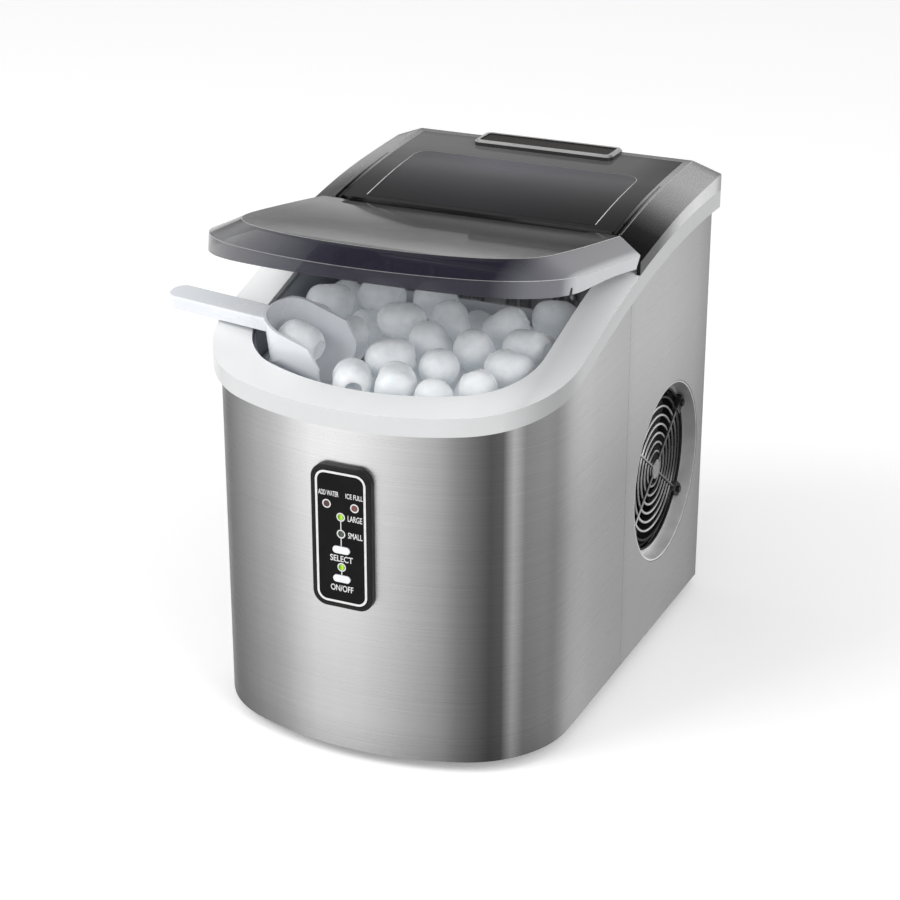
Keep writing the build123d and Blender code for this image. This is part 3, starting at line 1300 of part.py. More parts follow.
def main_board():
    """Power board on its bracket behind the tank, with transformer, relays and capacitors."""
    y = board_place_y
    board = block((-98.0, -18.0), (y, y + 1.6), (board_low_z, board_high_z))
    bracket = block((-100.0, -16.0), (y - 6.0, y - 4.5), (pan_floor_top, board_high_z + 4.0))
    for x in (-92.0, -24.0):
        for z in (board_low_z + 6.0, board_high_z - 6.0):
            bracket += rod((x, y - 5.0, z), (0, 1, 0), 3.0, 5.5)
    face, low = y + 1.2, board_low_z
    transformer = block((-90.0, -60.0), (face, y + 17.0), (low + 8.0, low + 40.0))
    relays = [block((-50.0, -32.0), (face, y + 16.0), (low + z, low + z + 16.0)) for z in (8.0, 32.0)]
    connector = block((-86.0, -62.0), (face, y + 8.0), (low + 88.0, low + 98.0))
    parts = [transformer, *relays, connector]
    parts += [rod((x, face, low + 66.0), (0, 1, 0), 6.0, 14.0) for x in (-84.0, -66.0, -48.0)]
    return board + bracket + parts


sensor_y, sensor_z = 9.0, 262.0


def ice_full_sensors():
    """Infrared sender and receiver, one on each side wall in front of the trough."""
    sensor = block((liner_inner_half - 4.0, liner_inner_half - 0.1), (sensor_y, sensor_y + 11.0),
                   (sensor_z, sensor_z + 11.0))
    sensor += rod((liner_inner_half - 6.0, sensor_y + 5.5, sensor_z + 5.5), (1, 0, 0), 2.5, 4.0)
    return mirror_pair(sensor)


def water_probes():
    """Two steel level probes that come up through the tank floor."""
    probe = rod((0, 0, tank_floor_z + 0.1), (0, 0, 1), 1.5, 12.0)
    probe += rod((0, 0, tank_floor_z + 0.1), (0, 0, 1), 3.5, 2.0)
    return Compound([Pos(x, -6.0, 0) * probe for x in (-10.0, 10.0)])


# ---------------------------------------------------------------- inlet and drain
def power_inlet():
    """Panel-mounted appliance inlet with three flat pins."""
    y0 = rear_y - 24.0
    body = block((inlet_x - inlet_width / 2, inlet_x + inlet_width / 2), (y0, rear_y + 2.5),
                 (inlet_z - inlet_height / 2, inlet_z + inlet_height / 2))
    body = fillet(body.edges().filter_by(Axis.Y), 2.5)
    flange = extrude(Plane.XZ * RectangleRounded(44.0, 25.0, 5.0), amount=-2.4)
    inlet = body + Pos(inlet_x, rear_y + 0.1, inlet_z) * flange
    inlet -= block((inlet_x - 11.0, inlet_x + 11.0), (rear_y - 15.0, rear_y + 5.0),
                   (inlet_z - 8.0, inlet_z + 8.0))
    for x, z in ((-6.5, -0.5), (0.0, 3.5), (6.5, -0.5)):
        inlet += block((inlet_x + x - 1.0, inlet_x + x + 1.0), (rear_y - 16.0, rear_y - 2.0),
                       (inlet_z + z - 2.0, inlet_z + z + 2.0))
    return inlet


drain_face_x = -half_width - 2.0


def drain_fitting():
    """Drain spigot from the tank out through the left side."""
    length = -drain_face_x - liner_outer_half - 0.1
    spigot = rod((drain_face_x, drain_y, drain_z), (1, 0, 0), drain_tube_radius, length)
    spigot += rod((drain_face_x, drain_y, drain_z), (1, 0, 0), drain_tube_radius + 4.0, 1.9)
    return spigot - rod((drain_face_x - 1, drain_y, drain_z), (1, 0, 0), drain_bore, length + 2)


def drain_cap():
    """Rubber drain plug with a ribbed grip."""
    grip = rod((drain_face_x - 0.2, drain_y, drain_z), (-1, 0, 0), 9.0, 7.0)
    for i in range(12):
        y, z = 9.6 * math.cos(math.radians(30 * i)), 9.6 * math.sin(math.radians(30 * i))
        grip -= rod((drain_face_x, drain_y + y, drain_z + z), (-1, 0, 0), 1.3, 8.0)
    return grip + rod((drain_face_x - 0.4, drain_y, drain_z), (1, 0, 0), drain_bore - 0.3, 14.0)


# ---------------------------------------------------------------- export
nodes = {
    "base_pan": base_pan,
    "rubber_feet": feet,
    "foot_screws": foot_screws,
    "front_wrap": front_wrap,
    "side_panel_right": side_panel_right,
    "side_panel_left": side_panel_left,
    "back_panel": back_panel,
    "back_screws": back_screws,
    "rim_bezel": rim_bezel,
    "tank_liner": liner,
    "insulation_jacket": insulation_jacket,
    "cover_frame": cover_frame,
    "cover_top_panel": cover_top_panel,
    "cover_window": cover_window,
    "nameplate_frame": nameplate_frame,
    "nameplate_inlay": nameplate_inlay,
    "control_housing": control_housing,
    "control_overlay": control_overlay,
    "led_lenses": led_lenses,
    "control_board": control_board,
    "select_button": lambda: button(select_button_z),
    "power_button": lambda: button(power_button_z),
    "vent_ring": vent_ring,
    "vent_guard": vent_guard,
    "fan_blades": fan_blades,
    "fan_motor": fan_motor,
    "fan_shroud": fan_shroud,
    "condenser_fins": condenser_fins,
    "condenser_coil": condenser_coil,
    "compressor": compressor_shell,
    "compressor_mounts": compressor_mounts,
    "terminal_cover": terminal_cover,
    "filter_drier": filter_drier,
    "hot_gas_valve": hot_gas_valve,
    "refrigerant_lines": refrigerant_lines,
    "evaporator": evaporator,
    "evaporator_bracket": evaporator_bracket,
    "water_trough": water_trough,
    "ice_shovel": ice_shovel,
    "trough_motor": trough_motor,
    "water_pump": water_pump,
    "water_hoses": water_hoses,
    "main_board": main_board,
    "ice_full_sensors": ice_full_sensors,
    "water_probes": water_probes,
    "power_inlet": power_inlet,
    "drain_fitting": drain_fitting,
    "drain_cap": drain_cap,
    "lid_shell": lid_shell,
    "lid_hinge_pins": lid_hinge_pins,
    "lid_bumpers": lid_bumpers,
    "ice_basket": ice_basket,
    "ice_pieces": ice_pieces,
    "ice_scoop": ice_scoop,
    "scooped_ice": scooped_ice,
}

os.makedirs("parts", exist_ok=True)
for name, make in nodes.items():
    export_step(make(), f"parts/{name}.step")
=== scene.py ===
import json
import math
import bmesh
import bpy
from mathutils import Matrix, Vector, noise as space_noise
from mathutils.bvhtree import BVHTree


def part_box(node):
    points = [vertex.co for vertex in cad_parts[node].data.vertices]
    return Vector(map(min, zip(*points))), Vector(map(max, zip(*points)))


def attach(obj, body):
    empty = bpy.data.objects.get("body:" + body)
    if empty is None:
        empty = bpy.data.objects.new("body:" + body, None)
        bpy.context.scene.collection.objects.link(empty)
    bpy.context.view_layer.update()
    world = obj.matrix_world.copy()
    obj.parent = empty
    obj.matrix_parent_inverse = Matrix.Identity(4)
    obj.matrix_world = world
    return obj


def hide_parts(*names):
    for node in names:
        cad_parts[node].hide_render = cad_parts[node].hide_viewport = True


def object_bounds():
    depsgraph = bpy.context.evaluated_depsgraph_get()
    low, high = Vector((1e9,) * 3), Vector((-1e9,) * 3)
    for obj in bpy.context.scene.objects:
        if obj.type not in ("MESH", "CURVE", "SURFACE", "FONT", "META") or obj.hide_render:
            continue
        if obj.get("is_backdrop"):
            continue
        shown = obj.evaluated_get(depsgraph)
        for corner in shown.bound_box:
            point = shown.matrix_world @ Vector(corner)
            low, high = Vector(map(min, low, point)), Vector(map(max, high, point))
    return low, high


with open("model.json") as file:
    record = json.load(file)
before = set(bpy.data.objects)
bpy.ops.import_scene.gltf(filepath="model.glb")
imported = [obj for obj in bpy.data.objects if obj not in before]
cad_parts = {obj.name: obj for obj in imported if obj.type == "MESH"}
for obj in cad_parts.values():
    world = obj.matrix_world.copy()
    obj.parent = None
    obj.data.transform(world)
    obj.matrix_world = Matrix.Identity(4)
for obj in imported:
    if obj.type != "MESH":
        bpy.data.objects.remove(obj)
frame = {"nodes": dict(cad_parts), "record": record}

# An ice maker with its lid open over a basket of ice. The CAD solids have the shapes. This script
# gives them their materials, rounds the ice off, and adds the print, the light on the moulded
# edges, the floor, the lamps and the camera.

cad_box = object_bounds()
nodes = frame["nodes"]

panel_low, panel_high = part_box("control_overlay")
panel_middle = (panel_low[2] + panel_high[2]) / 2 * 1000        # millimetres above the floor
lid_up = Vector((0, 0.169, 0.986))      # the way the open lid's flat top faces
upwards, forwards = (0, 0, 1), (0, -1, 0)
# Cosines between which a surface comes to face up, to the front, or as the lid's flat top does.
faces_up, faces_front, faces_as_lid = (0.6, 0.9), (0.1, 0.5), (0.92, 0.97)


# ---------------------------------------------------------------- shader helpers
def new_material(name):
    """A material with a Principled shader, and its tree and shader."""
    material = bpy.data.materials.new(name)
    material.use_nodes = True
    tree = material.node_tree
    return material, tree, tree.nodes["Principled BSDF"]


def add(tree, kind, **settings):
    """A new node. Each setting goes to the socket of that name, or else to the node itself."""
    node = tree.nodes.new(kind)
    for key, value in settings.items():
        if key in node.inputs.keys():
            node.inputs[key].default_value = value
        else:
            setattr(node, key, value)
    return node


def feed(tree, socket, value):
    """Links a signal to a socket, or sets a constant on it."""
    if isinstance(value, bpy.types.NodeSocket):
        tree.links.new(value, socket)
    else:
        socket.default_value = value


def place(tree):
    """The object's own coordinates, in metres."""
    return add(tree, "ShaderNodeTexCoord").outputs["Object"]


def noise(tree, scale, detail=3.0, stretch=(1, 1, 1)):
    """Noise over the object's own coordinates, stretched along each axis."""
    mapping = add(tree, "ShaderNodeMapping", Scale=stretch)
    tree.links.new(place(tree), mapping.inputs["Vector"])
    texture = add(tree, "ShaderNodeTexNoise", Scale=scale, Detail=detail)
    tree.links.new(mapping.outputs["Vector"], texture.inputs["Vector"])
    return texture.outputs["Fac"]


def mapped(tree, source, low, high, start=0.3, end=0.7):
    """Maps a signal between start and end to a range of numbers."""
    node = add(tree, "ShaderNodeMapRange")
    for key, value in (("From Min", start), ("From Max", end), ("To Min", low), ("To Max", high)):
        node.inputs[key].default_value = value
    tree.links.new(source, node.inputs["Value"])
    return node.outputs["Result"]


def maths(tree, operation, first, second):
    """Two signals joined by an operation."""
    node = add(tree, "ShaderNodeMath", operation=operation)
    feed(tree, node.inputs[0], first)
    feed(tree, node.inputs[1], second)
    return node.outputs[0]


def vector_maths(tree, operation, first, second=(0, 0, 0)):
    """A node that joins two vectors by an operation."""
    node = add(tree, "ShaderNodeVectorMath", operation=operation)
    feed(tree, node.inputs[0], first)
    feed(tree, node.inputs[1], second)
    return node


def grey(value, tint=(1, 1, 1)):
    return tuple(value * t for t in tint)


def tones(tree, source, stops, sharp=False):
    """Colours at stated places of a signal between 0 and 1."""
    node = add(tree, "ShaderNodeValToRGB")
    if sharp:
        node.color_ramp.interpolation = "CONSTANT"
    elements = node.color_ramp.elements
    for element, (spot, colour) in zip(elements, (stops[0], stops[-1])):
        element.position = spot
        element.color = (*colour, 1)
    for spot, colour in stops[1:-1]:
        elements.new(spot).color = (*colour, 1)
    tree.links.new(source, node.inputs["Fac"])
    return node.outputs["Color"]


def drifting(tree, source, first, second):
    """Goes between two colours as a noise signal drifts."""
    return tones(tree, source, ((0.3, first), (0.7, second)))


def along(tree, axis, stops, sharp=False):
    """Colours or greys at places along one of the object's axes, in millimetres."""
    split = add(tree, "ShaderNodeSeparateXYZ")
    tree.links.new(place(tree), split.inputs[0])
    low, high = stops[0][0], stops[-1][0]
    share = mapped(tree, split.outputs[axis], 0, 1, low / 1000, high / 1000)
    colours = [((spot - low) / (high - low), tone if isinstance(tone, tuple) else grey(tone))
               for spot, tone in stops]
    return tones(tree, share, colours, sharp)


def mixed(tree, share, first, second, blend_type="MIX"):
    """Two colours mixed by a share of the second. Each may be a signal or a constant."""
    node = add(tree, "ShaderNodeMix", data_type="RGBA", blend_type=blend_type)
    for socket, value in ((0, share), (6, first), (7, second)):     # the node's colour sockets
        feed(tree, node.inputs[socket], value)
    return node.outputs[2]


def toned(tree, colour, courses):
    """A colour multiplied by the tones of each course, an axis with stops along it."""
    for axis, stops in courses:
        colour = mixed(tree, 1.0, colour, along(tree, axis, stops), "MULTIPLY")
    return colour


def towards(tree, vector, direction, low, high):
    """From 0 to 1 as a vector turns towards a direction, between two cosines."""
    dot = vector_maths(tree, "DOT_PRODUCT", vector, direction)
    return mapped(tree, dot.outputs["Value"], 0, 1, low, high)


def facing(tree, direction, low, high):
    """From 0 to 1 as the surface turns towards a direction fixed to the object."""
    normal = add(tree, "ShaderNodeTexCoord").outputs["Normal"]
    return towards(tree, normal, direction, low, high)


def bump(tree, shader, source, strength, distance=0.0005):
    """Fine relief on a shader, its height in metres."""
    node = add(tree, "ShaderNodeBump", Strength=strength, Distance=distance)
    tree.links.new(source, node.inputs["Height"])
    tree.links.new(node.outputs["Normal"], shader.inputs["Normal"])


def varied(name, first, second, rough, grain=60, texture=900, relief=0.05, courses=(),
           upper=None, **settings):
    """A material whose colour and roughness drift over the surface, with fine relief.

    Grain is the scale of the drift and texture that of the relief, per metre. The courses are
    tones of painted light and shade along axes, which the colour is multiplied by. Upper gives
    other courses of painted light and shade for the surfaces that face up."""
    material, tree, shader = new_material(name)
    drift = noise(tree, grain, 4.0)
    plain = drifting(tree, drift, first, second)
    colour = toned(tree, plain, courses)
    if upper:
        colour = mixed(tree, facing(tree, upwards, *faces_up), colour, toned(tree, plain, upper))
    tree.links.new(colour, shader.inputs["Base Color"])
    tree.links.new(mapped(tree, drift, *rough), shader.inputs["Roughness"])
    bump(tree, shader, noise(tree, texture, 2.0), relief)
    for key, value in settings.items():
        shader.inputs[key.replace("_", " ")].default_value = value
    return material


def brushed(name, stretch, rough, courses, relief=0.1, around="Z", heights=None,
            contrast=0.08, depth=0.00005):
    """Metal with fine parallel brushing. The courses are tones along axes, on the steel sheet its
    painted reflection.

    Stretch is the scale of the brushing along each axis, per metre. The heights are tones of
    painted shade and light along Z, first for what faces the front and then for the rest."""
    material, tree, shader = new_material(name)
    streak = noise(tree, 1.0, 3.0, stretch)
    streaks = tones(tree, streak, ((0.25, grey(1 - contrast)), (0.75, grey(1 + contrast))))
    colour = toned(tree, streaks, courses)
    if heights:
        front, rest = (toned(tree, colour, (("Z", stops),)) for stops in heights)
        colour = mixed(tree, facing(tree, forwards, *faces_front), rest, front)
    tree.links.new(colour, shader.inputs["Base Color"])
    tree.links.new(mapped(tree, streak, *rough), shader.inputs["Roughness"])
    bump(tree, shader, streak, relief, depth)
    shader.inputs["Metallic"].default_value = 1.0
    shader.inputs["Anisotropic"].default_value = 0.7
    tangent = add(tree, "ShaderNodeTangent", direction_type="RADIAL", axis=around)
    tree.links.new(tangent.outputs["Tangent"], shader.inputs["Tangent"])
    return material


# ---------------------------------------------------------------- tones
# The photograph's studio can't be rebuilt with a plain floor and two lamps, so the broad light and
# dark of the smooth surfaces is part of their colour. Each pair is a place along an axis in
# millimetres, and the tone there.
# Painted reflection on the steel walls: light and dark bands across and along them.
wall_painted_reflection = ((-118, 0.30), (-115, 0.12), (-112, 0.04), (-107, 0.09), (-95, 0.065), (-86, 0.17),
              (-80, 0.23), (-65, 0.335), (-55, 0.385), (-45, 0.465), (-35, 0.575), (-22, 0.685),
              (-8, 0.70), (8, 0.665), (28, 0.545), (50, 0.39), (60, 0.315), (70, 0.20),
              (80, 0.124), (88, 0.07), (94, 0.09), (99, 0.35), (101, 0.30), (104, 0.19),
              (112, 0.225), (115, 0.21), (118, 0.32))
depth_painted_reflection = ((-100, 0.86), (-88, 1.05), (-75, 1.18), (-62, 1.20), (-45, 1.12), (-10, 1.03),
               (5, 1.0), (20, 1.09), (80, 1.07), (110, 0.98), (140, 0.86), (155, 0.72),
               (166, 0.62))
# Painted shade and light by height on the steel: front darker near the floor, then the sides.
front_painted_shade = ((8, 0.66), (30, 0.80), (60, 0.86), (100, 0.95), (150, 1.03), (200, 1.12),
                 (235, 1.17))
side_painted_shade = ((8, 1.06), (60, 1.0), (150, 0.90), (200, 1.08), (235, 1.18))
# Painted shade on the rim's band, darker on the right, and painted light on its top at the back.
band_painted_shade = (("X", ((-123, 1.0), (-116, 0.95), (-105, 0.77), (-95, 0.68), (-80, 0.76),
                     (20, 0.75), (60, 0.74), (80, 0.70), (95, 0.68), (105, 0.55), (112, 0.43),
                     (118, 0.38), (121.5, 0.42), (123, 0.54))),)
mouth_painted_light = (("X", ((-123, 1.12), (70, 1.12), (90, 1.06), (98, 0.98), (104, 0.88),
                      (112, 0.92), (123, 0.95))),
               ("Y", ((-110, 1.0), (-80, 1.22), (-30, 1.45), (0, 1.6))))
# Painted reflection on the glossy top panel, brightest near the back and on the left.
panel_painted_reflection = (("Y", ((28, 0.05), (60, 0.10), (100, 0.5), (122, 1.6), (150, 2.3), (158, 1.8),
                      (162, 0.3))),
               ("X", ((-98, 1.3), (-60, 1.2), (0, 1.0), (70, 0.7), (88, 0.25), (98, 0.12))))
# Painted reflection on the grey cover's flanks, dark at the front and bright further back.
flank_painted_reflection = (("Y", ((-8, 0.02), (25, 0.03), (42, 0.10), (60, 0.55), (85, 1.6), (120, 2.0),
                      (155, 1.7), (168, 0.6))),)
# Painted shade on the nameplate frame's sides, and painted light on its top.
plate_side_shade = (("Z", ((250, 0.05), (340, 0.05))),)
plate_top_light = (("X", ((-60, 1.0), (60, 0.9))),)
# Painted reflection on the vent's recessed ring, brightest low down.
ring_painted_reflection = (("Z", ((55, 1.7), (85, 1.15), (120, 0.9), (180, 0.75))),)
# Painted highlight and shade on the guard's wire: dark to the right and in a band at mid height.
guard_painted_highlight = (("Z", ((57, 1.0), (92, 0.9), (108, 0.35), (132, 0.35), (150, 1.0), (184, 0.9))),
               ("Y", ((30, 1.0), (92, 0.9), (112, 0.35), (150, 0.2))))
# Painted reflection on the smoked window, brightest towards the back.
window_painted_reflection = (("Y", ((33, 0.3), (80, 0.7), (118, 3.0))),
                ("X", ((-82, 0.7), (-20, 1.4), (82, 0.5))))
# Painted reflection and shade on the lid: its flat top by depth, its border lighter at the ends.
lid_top_reflection = (("Y", ((-146, 0.22), (-140, 0.40), (-130, 0.36), (-103, 0.155), (-73, 0.075),
                        (-43, 0.075), (-14, 0.155), (4, 0.07), (10, 0.03))),
                 ("X", ((-105, 0.9), (-80, 0.95), (-40, 1.0), (80, 1.15), (100, 1.0))))
lid_border_shading = (("X", ((-123, (0.26, 0.25, 0.25)), (-95, (0.13, 0.13, 0.14)),
                           (-50, (0.05, 0.05, 0.07)), (0, (0.020, 0.018, 0.032)),
                           (88, (0.016, 0.014, 0.026)), (104, (0.12, 0.12, 0.14)),
                           (118, (0.15, 0.15, 0.17)), (122, (0.50, 0.51, 0.53)))),)
lid_border_cover = ((-123, 0.9), (-95, 0.72), (60, 0.78), (95, 0.85), (108, 0.97))
lid_top_cover = ((-146, 0.90), (10, 0.94))
lens_tones = (("X", ((-1.9, 0.25), (-0.6, 0.7), (0.4, (1.6, 1.2, 1.0)), (1.0, (1.9, 1.3, 1.0)),
                     (1.9, 0.6))),)
# Painted highlights on the line round the window and on the lid's and the cover's edges.
window_glint_tones = (("Y", ((33, 1.2), (80, 1.0), (112, 0.6), (119, 0.25))),)
lid_glint_tones = (("X", ((-123, 0.9), (0, 0.55), (90, 0.5), (105, 1.1), (123, 1.2))),)
crest_glint_tones = (("Y", ((10, 0.15), (60, 0.6), (168, 0.9))),)


# ---------------------------------------------------------------- materials
def ice_material():
    """Cloudy wet ice that lets light into its depth."""
    material, tree, shader = new_material("ice")
    colour = drifting(tree, noise(tree, 110, 5.0), (0.70, 0.73, 0.75), (0.84, 0.85, 0.86))
    tree.links.new(colour, shader.inputs["Base Color"])
    tree.links.new(mapped(tree, noise(tree, 60, 3.0), 0.12, 0.42), shader.inputs["Roughness"])
    bump(tree, shader, noise(tree, 160, 4.0), 0.35, 0.0006)
    # The faint emission is a painted glow standing in for light scattered through the ice.
    settings = {"Subsurface Weight": 0.8, "Subsurface Radius": (0.9, 1.0, 1.0),
                "Subsurface Scale": 0.008, "IOR": 1.31,
                "Emission Color": (0.90, 0.95, 1.0, 1), "Emission Strength": 0.08}
    for key, value in settings.items():
        shader.inputs[key].default_value = value
    return material


def clear_plastic(name, rough):
    """Clear plastic with faint waves, still without colour, and the drift for its colour."""
    material, tree, shader = new_material(name)
    drift = noise(tree, 9, 2.0)
    tree.links.new(mapped(tree, drift, *rough), shader.inputs["Roughness"])
    bump(tree, shader, noise(tree, 25, 1.0), 0.02)
    shader.inputs["IOR"].default_value = 1.5
    return material, tree, shader, drift


def window_material():
    """The smoked window over the ice-making chamber, with painted reflection in its colour."""
    material, tree, shader, drift = clear_plastic("dark_window", (0.06, 0.10))
    plain = drifting(tree, drift, (0.012, 0.012, 0.018), (0.02, 0.02, 0.026))
    tree.links.new(toned(tree, plain, window_painted_reflection), shader.inputs["Base Color"])
    shader.inputs["Alpha"].default_value = 0.85
    return material


def lid_material():
    """Smoked clear plastic, denser in the flat top than in the sloping border, with painted
    reflection and shade in the colour of each.
    """
    material, tree, shader, drift = clear_plastic("smoked_clear", (0.06, 0.10))
    plain = drifting(tree, drift, grey(0.95), grey(1.0))
    top, border = toned(tree, plain, lid_top_reflection), toned(tree, plain, lid_border_shading)
    flat = facing(tree, lid_up, *faces_as_lid)
    tree.links.new(mixed(tree, flat, border, top), shader.inputs["Base Color"])
    thin, thick = along(tree, "X", lid_border_cover), along(tree, "Y", lid_top_cover)
    tree.links.new(mixed(tree, flat, thin, thick), shader.inputs["Alpha"])
    return material


def lens_material():
    """Lamps: two red ones at the top, then a lit green one, a dark one and a lit green one."""
    material, tree, shader = new_material("lamp_lens")
    red, green, dark = (0.22, 0.07, 0.06), (0.20, 0.50, 0.01), (0.03, 0.05, 0.04)
    rows = ((-27, green), (-7, dark), (9, green), (18, red), (33, red))     # from its middle up
    stops = [(panel_middle + start, colour) for start, colour in rows]
    colour = toned(tree, along(tree, "Z", stops, True), lens_tones)
    tree.links.new(colour, shader.inputs["Base Color"])
    tree.links.new(colour, shader.inputs["Emission Color"])
    shader.inputs["Emission Strength"].default_value = 0.2
    tree.links.new(mapped(tree, noise(tree, 900), 0.15, 0.3), shader.inputs["Roughness"])
    return material


def guard_material():
    """Wire with black lugs at the ends of the spokes, told apart by their radius. The wire's light
    and dark are painted highlight and shade.
    """
    material, tree, shader = new_material("guard_wire")
    wire_end, lug_start = 0.0478, 0.0486
    fan_low, fan_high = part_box("fan_blades")
    from_fan = vector_maths(tree, "SUBTRACT", place(tree), (fan_low + fan_high) / 2)
    sideways = vector_maths(tree, "MULTIPLY", from_fan.outputs[0], (0, 1, 1))
    radius = vector_maths(tree, "LENGTH", sideways.outputs[0]).outputs["Value"]
    is_wire = mapped(tree, radius, 1, 0, wire_end, lug_start)
    wire = toned(tree, drifting(tree, noise(tree, 300), grey(0.55), grey(0.72)), guard_painted_highlight)
    black = drifting(tree, noise(tree, 300), grey(0.008), grey(0.016))
    tree.links.new(mixed(tree, is_wire, black, wire), shader.inputs["Base Color"])
    tree.links.new(mapped(tree, noise(tree, 500), 0.25, 0.35), shader.inputs["Roughness"])
    bump(tree, shader, noise(tree, 1500, 2.0), 0.05)
    tree.links.new(mapped(tree, is_wire, 0, 1, 0, 1), shader.inputs["Metallic"])
    shader.inputs["Specular IOR Level"].default_value = 0.08
    return material


metal = {"Metallic": 1.0}
finishes = {
    # slot: first colour, second colour, roughness, grain, texture, relief, other settings
    "black_plastic": (grey(0.010), grey(0.018), (0.38, 0.50), 40, 1800, 0.12,
                      {"Specular_IOR_Level": 0.3}),
    "white_plastic": ((0.75, 0.77, 0.79), (0.79, 0.80, 0.82), (0.28, 0.36), 12, 900, 0.02, {}),
    "liner_plastic": ((0.20, 0.22, 0.25), (0.26, 0.28, 0.31), (0.30, 0.45), 14, 900, 0.03, {}),
    "basket_plastic": ((0.60, 0.64, 0.68), (0.68, 0.72, 0.75), (0.25, 0.35), 20, 900, 0.03, {}),
    "scoop_plastic": ((0.72, 0.75, 0.79), (0.78, 0.80, 0.83), (0.20, 0.30), 20, 900, 0.02, {}),
    "key_white": ((0.70, 0.72, 0.74), (0.78, 0.79, 0.80), (0.35, 0.45), 200, 2500, 0.05, {}),
    "panel_print": (grey(0.006), grey(0.010), (0.40, 0.50), 60, 2600, 0.05,
                    {"Specular_IOR_Level": 0.05}),
    # The top panel gets painted reflection from its courses.
    "gloss_black": (grey(0.05), grey(0.06), (0.12, 0.20), 20, 700, 0.01,
                    {"courses": panel_painted_reflection}),
    # The cover's flanks get painted reflection from their courses.
    "grey_cover": (grey(0.30), grey(0.36), (0.24, 0.34), 1500, 1500, 0.03,
                   {"courses": flank_painted_reflection, "Metallic": 0.8}),
    "rubber_black": (grey(0.012), grey(0.022), (0.60, 0.80), 120, 1500, 0.20, {}),
    "foam": ((0.75, 0.68, 0.46), (0.86, 0.80, 0.60), (0.80, 0.95), 300, 600, 0.50, {}),
    "hose": ((0.56, 0.57, 0.55), (0.66, 0.67, 0.65), (0.40, 0.55), 60, 1200, 0.05, {}),
    "circuit": ((0.02, 0.13, 0.06), (0.04, 0.20, 0.09), (0.30, 0.45), 700, 1500, 0.10, {}),
    "compressor_black": (grey(0.012), grey(0.022), (0.25, 0.40), 60, 1300, 0.25, {}),
    "galvanised": (grey(0.42), grey(0.60, (0.98, 1, 1.02)), (0.35, 0.55), 90, 700, 0.05, metal),
    "zinc_steel": (grey(0.50), grey(0.64), (0.30, 0.45), 140, 1200, 0.06, metal),
    "plated_tube": (grey(0.60), grey(0.72), (0.10, 0.22), 70, 900, 0.04, metal),
    "copper_pipe": ((0.50, 0.22, 0.12), (0.72, 0.36, 0.20), (0.22, 0.40), 90, 900, 0.05, metal),
    "brass_body": ((0.50, 0.36, 0.13), (0.66, 0.49, 0.20), (0.25, 0.38), 160, 900, 0.05, metal),
}
by_slot = {slot: varied(slot, *row[:-1], **row[-1]) for slot, row in finishes.items()}
by_slot |= {
    # The steel sheet gets painted reflection and shade from its courses and heights.
    "steel_sheet": brushed("steel_sheet", (5, 5, 1700), (0.26, 0.34),
                           (("X", wall_painted_reflection), ("Y", depth_painted_reflection)),
                           heights=(front_painted_shade, side_painted_shade)),
    "stainless": brushed("stainless", (900, 60, 60), (0.22, 0.34),
                         (("X", ((-120, 0.42), (120, 0.42))),), 0.05, "X"),
    "fin_aluminium": brushed("fin_aluminium", (900, 30, 400), (0.30, 0.42),
                             (("X", ((-120, 0.62), (120, 0.62))),)),
    "dark_window": window_material(),
    "smoked_clear": lid_material(),
    "lamp_lens": lens_material(),
    "ice": ice_material(),
}
warm = (1.2, 1, 0.9)
by_node = {
    # The rim gets painted shade on its band and painted light on its top.
    "rim_bezel": varied("rim_white", (0.76, 0.77, 0.78), (0.79, 0.80, 0.80), (0.28, 0.36),
                        12, 900, 0.02, band_painted_shade, mouth_painted_light),
    "control_housing": varied("panel_housing", grey(0.006), grey(0.012), (0.32, 0.45),
                              40, 1800, 0.12, Specular_IOR_Level=0.15),
    "nameplate_inlay": varied("blank_inlay", grey(0.010, warm), grey(0.016, warm), (0.35, 0.50),
                              200, 1500),
    # The nameplate frame gets painted shade on its sides and painted light on its top.
    "nameplate_frame": varied("plate_trim", grey(0.85), grey(0.95), (0.16, 0.24),
                              60, 1200, 0.03, plate_side_shade, plate_top_light, Metallic=0.6),
    # The vent ring gets painted reflection, brightest low down.
    "vent_ring": varied("ring_steel", grey(0.42), grey(0.52), (0.28, 0.38),
                        60, 1200, 0.03, ring_painted_reflection, Metallic=0.35),
    "vent_guard": guard_material(),
}
slot_of = {part["node"]: part["material_slot"] for part in frame["record"]["subparts"]}
for name, node in nodes.items():
    for slot in node.material_slots:
        slot.material = by_node.get(name) or by_slot[slot_of[name]]
ink = varied("panel_ink", grey(0.62), grey(0.72), (0.45, 0.55), 300, 3000, 0.02)
# Painted highlights round the window and along the lid's and the cover's edges.
window_glint = varied("window_line", grey(0.55), grey(0.65), (0.30, 0.40), 300, 2000, 0.02,
                      window_glint_tones)
lid_glint = varied("lid_glint", grey(0.42), grey(0.50), (0.25, 0.35), 300, 2000, 0.02,
                   lid_glint_tones)
crest_glint = varied("crest_glint", grey(0.55), grey(0.65), (0.25, 0.35), 300, 2000, 0.02,
                     crest_glint_tones)


# ---------------------------------------------------------------- pieces
def put(name, mesh, material, body, smooth=True):
    """Adds a mesh as a piece that rides on a body."""
    mesh.materials.clear()
    mesh.materials.append(material)
    for face in mesh.polygons:
        face.use_smooth = smooth
    piece = bpy.data.objects.new(name, mesh)
    bpy.context.scene.collection.objects.link(piece)
    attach(piece, body)
    return piece


def put_faces(name, verts, faces, material, body):
    """Adds flat faces as a piece."""
    mesh = bpy.data.meshes.new(name)
    mesh.from_pydata(verts, [], faces)
    put(name, mesh, material, body, False)


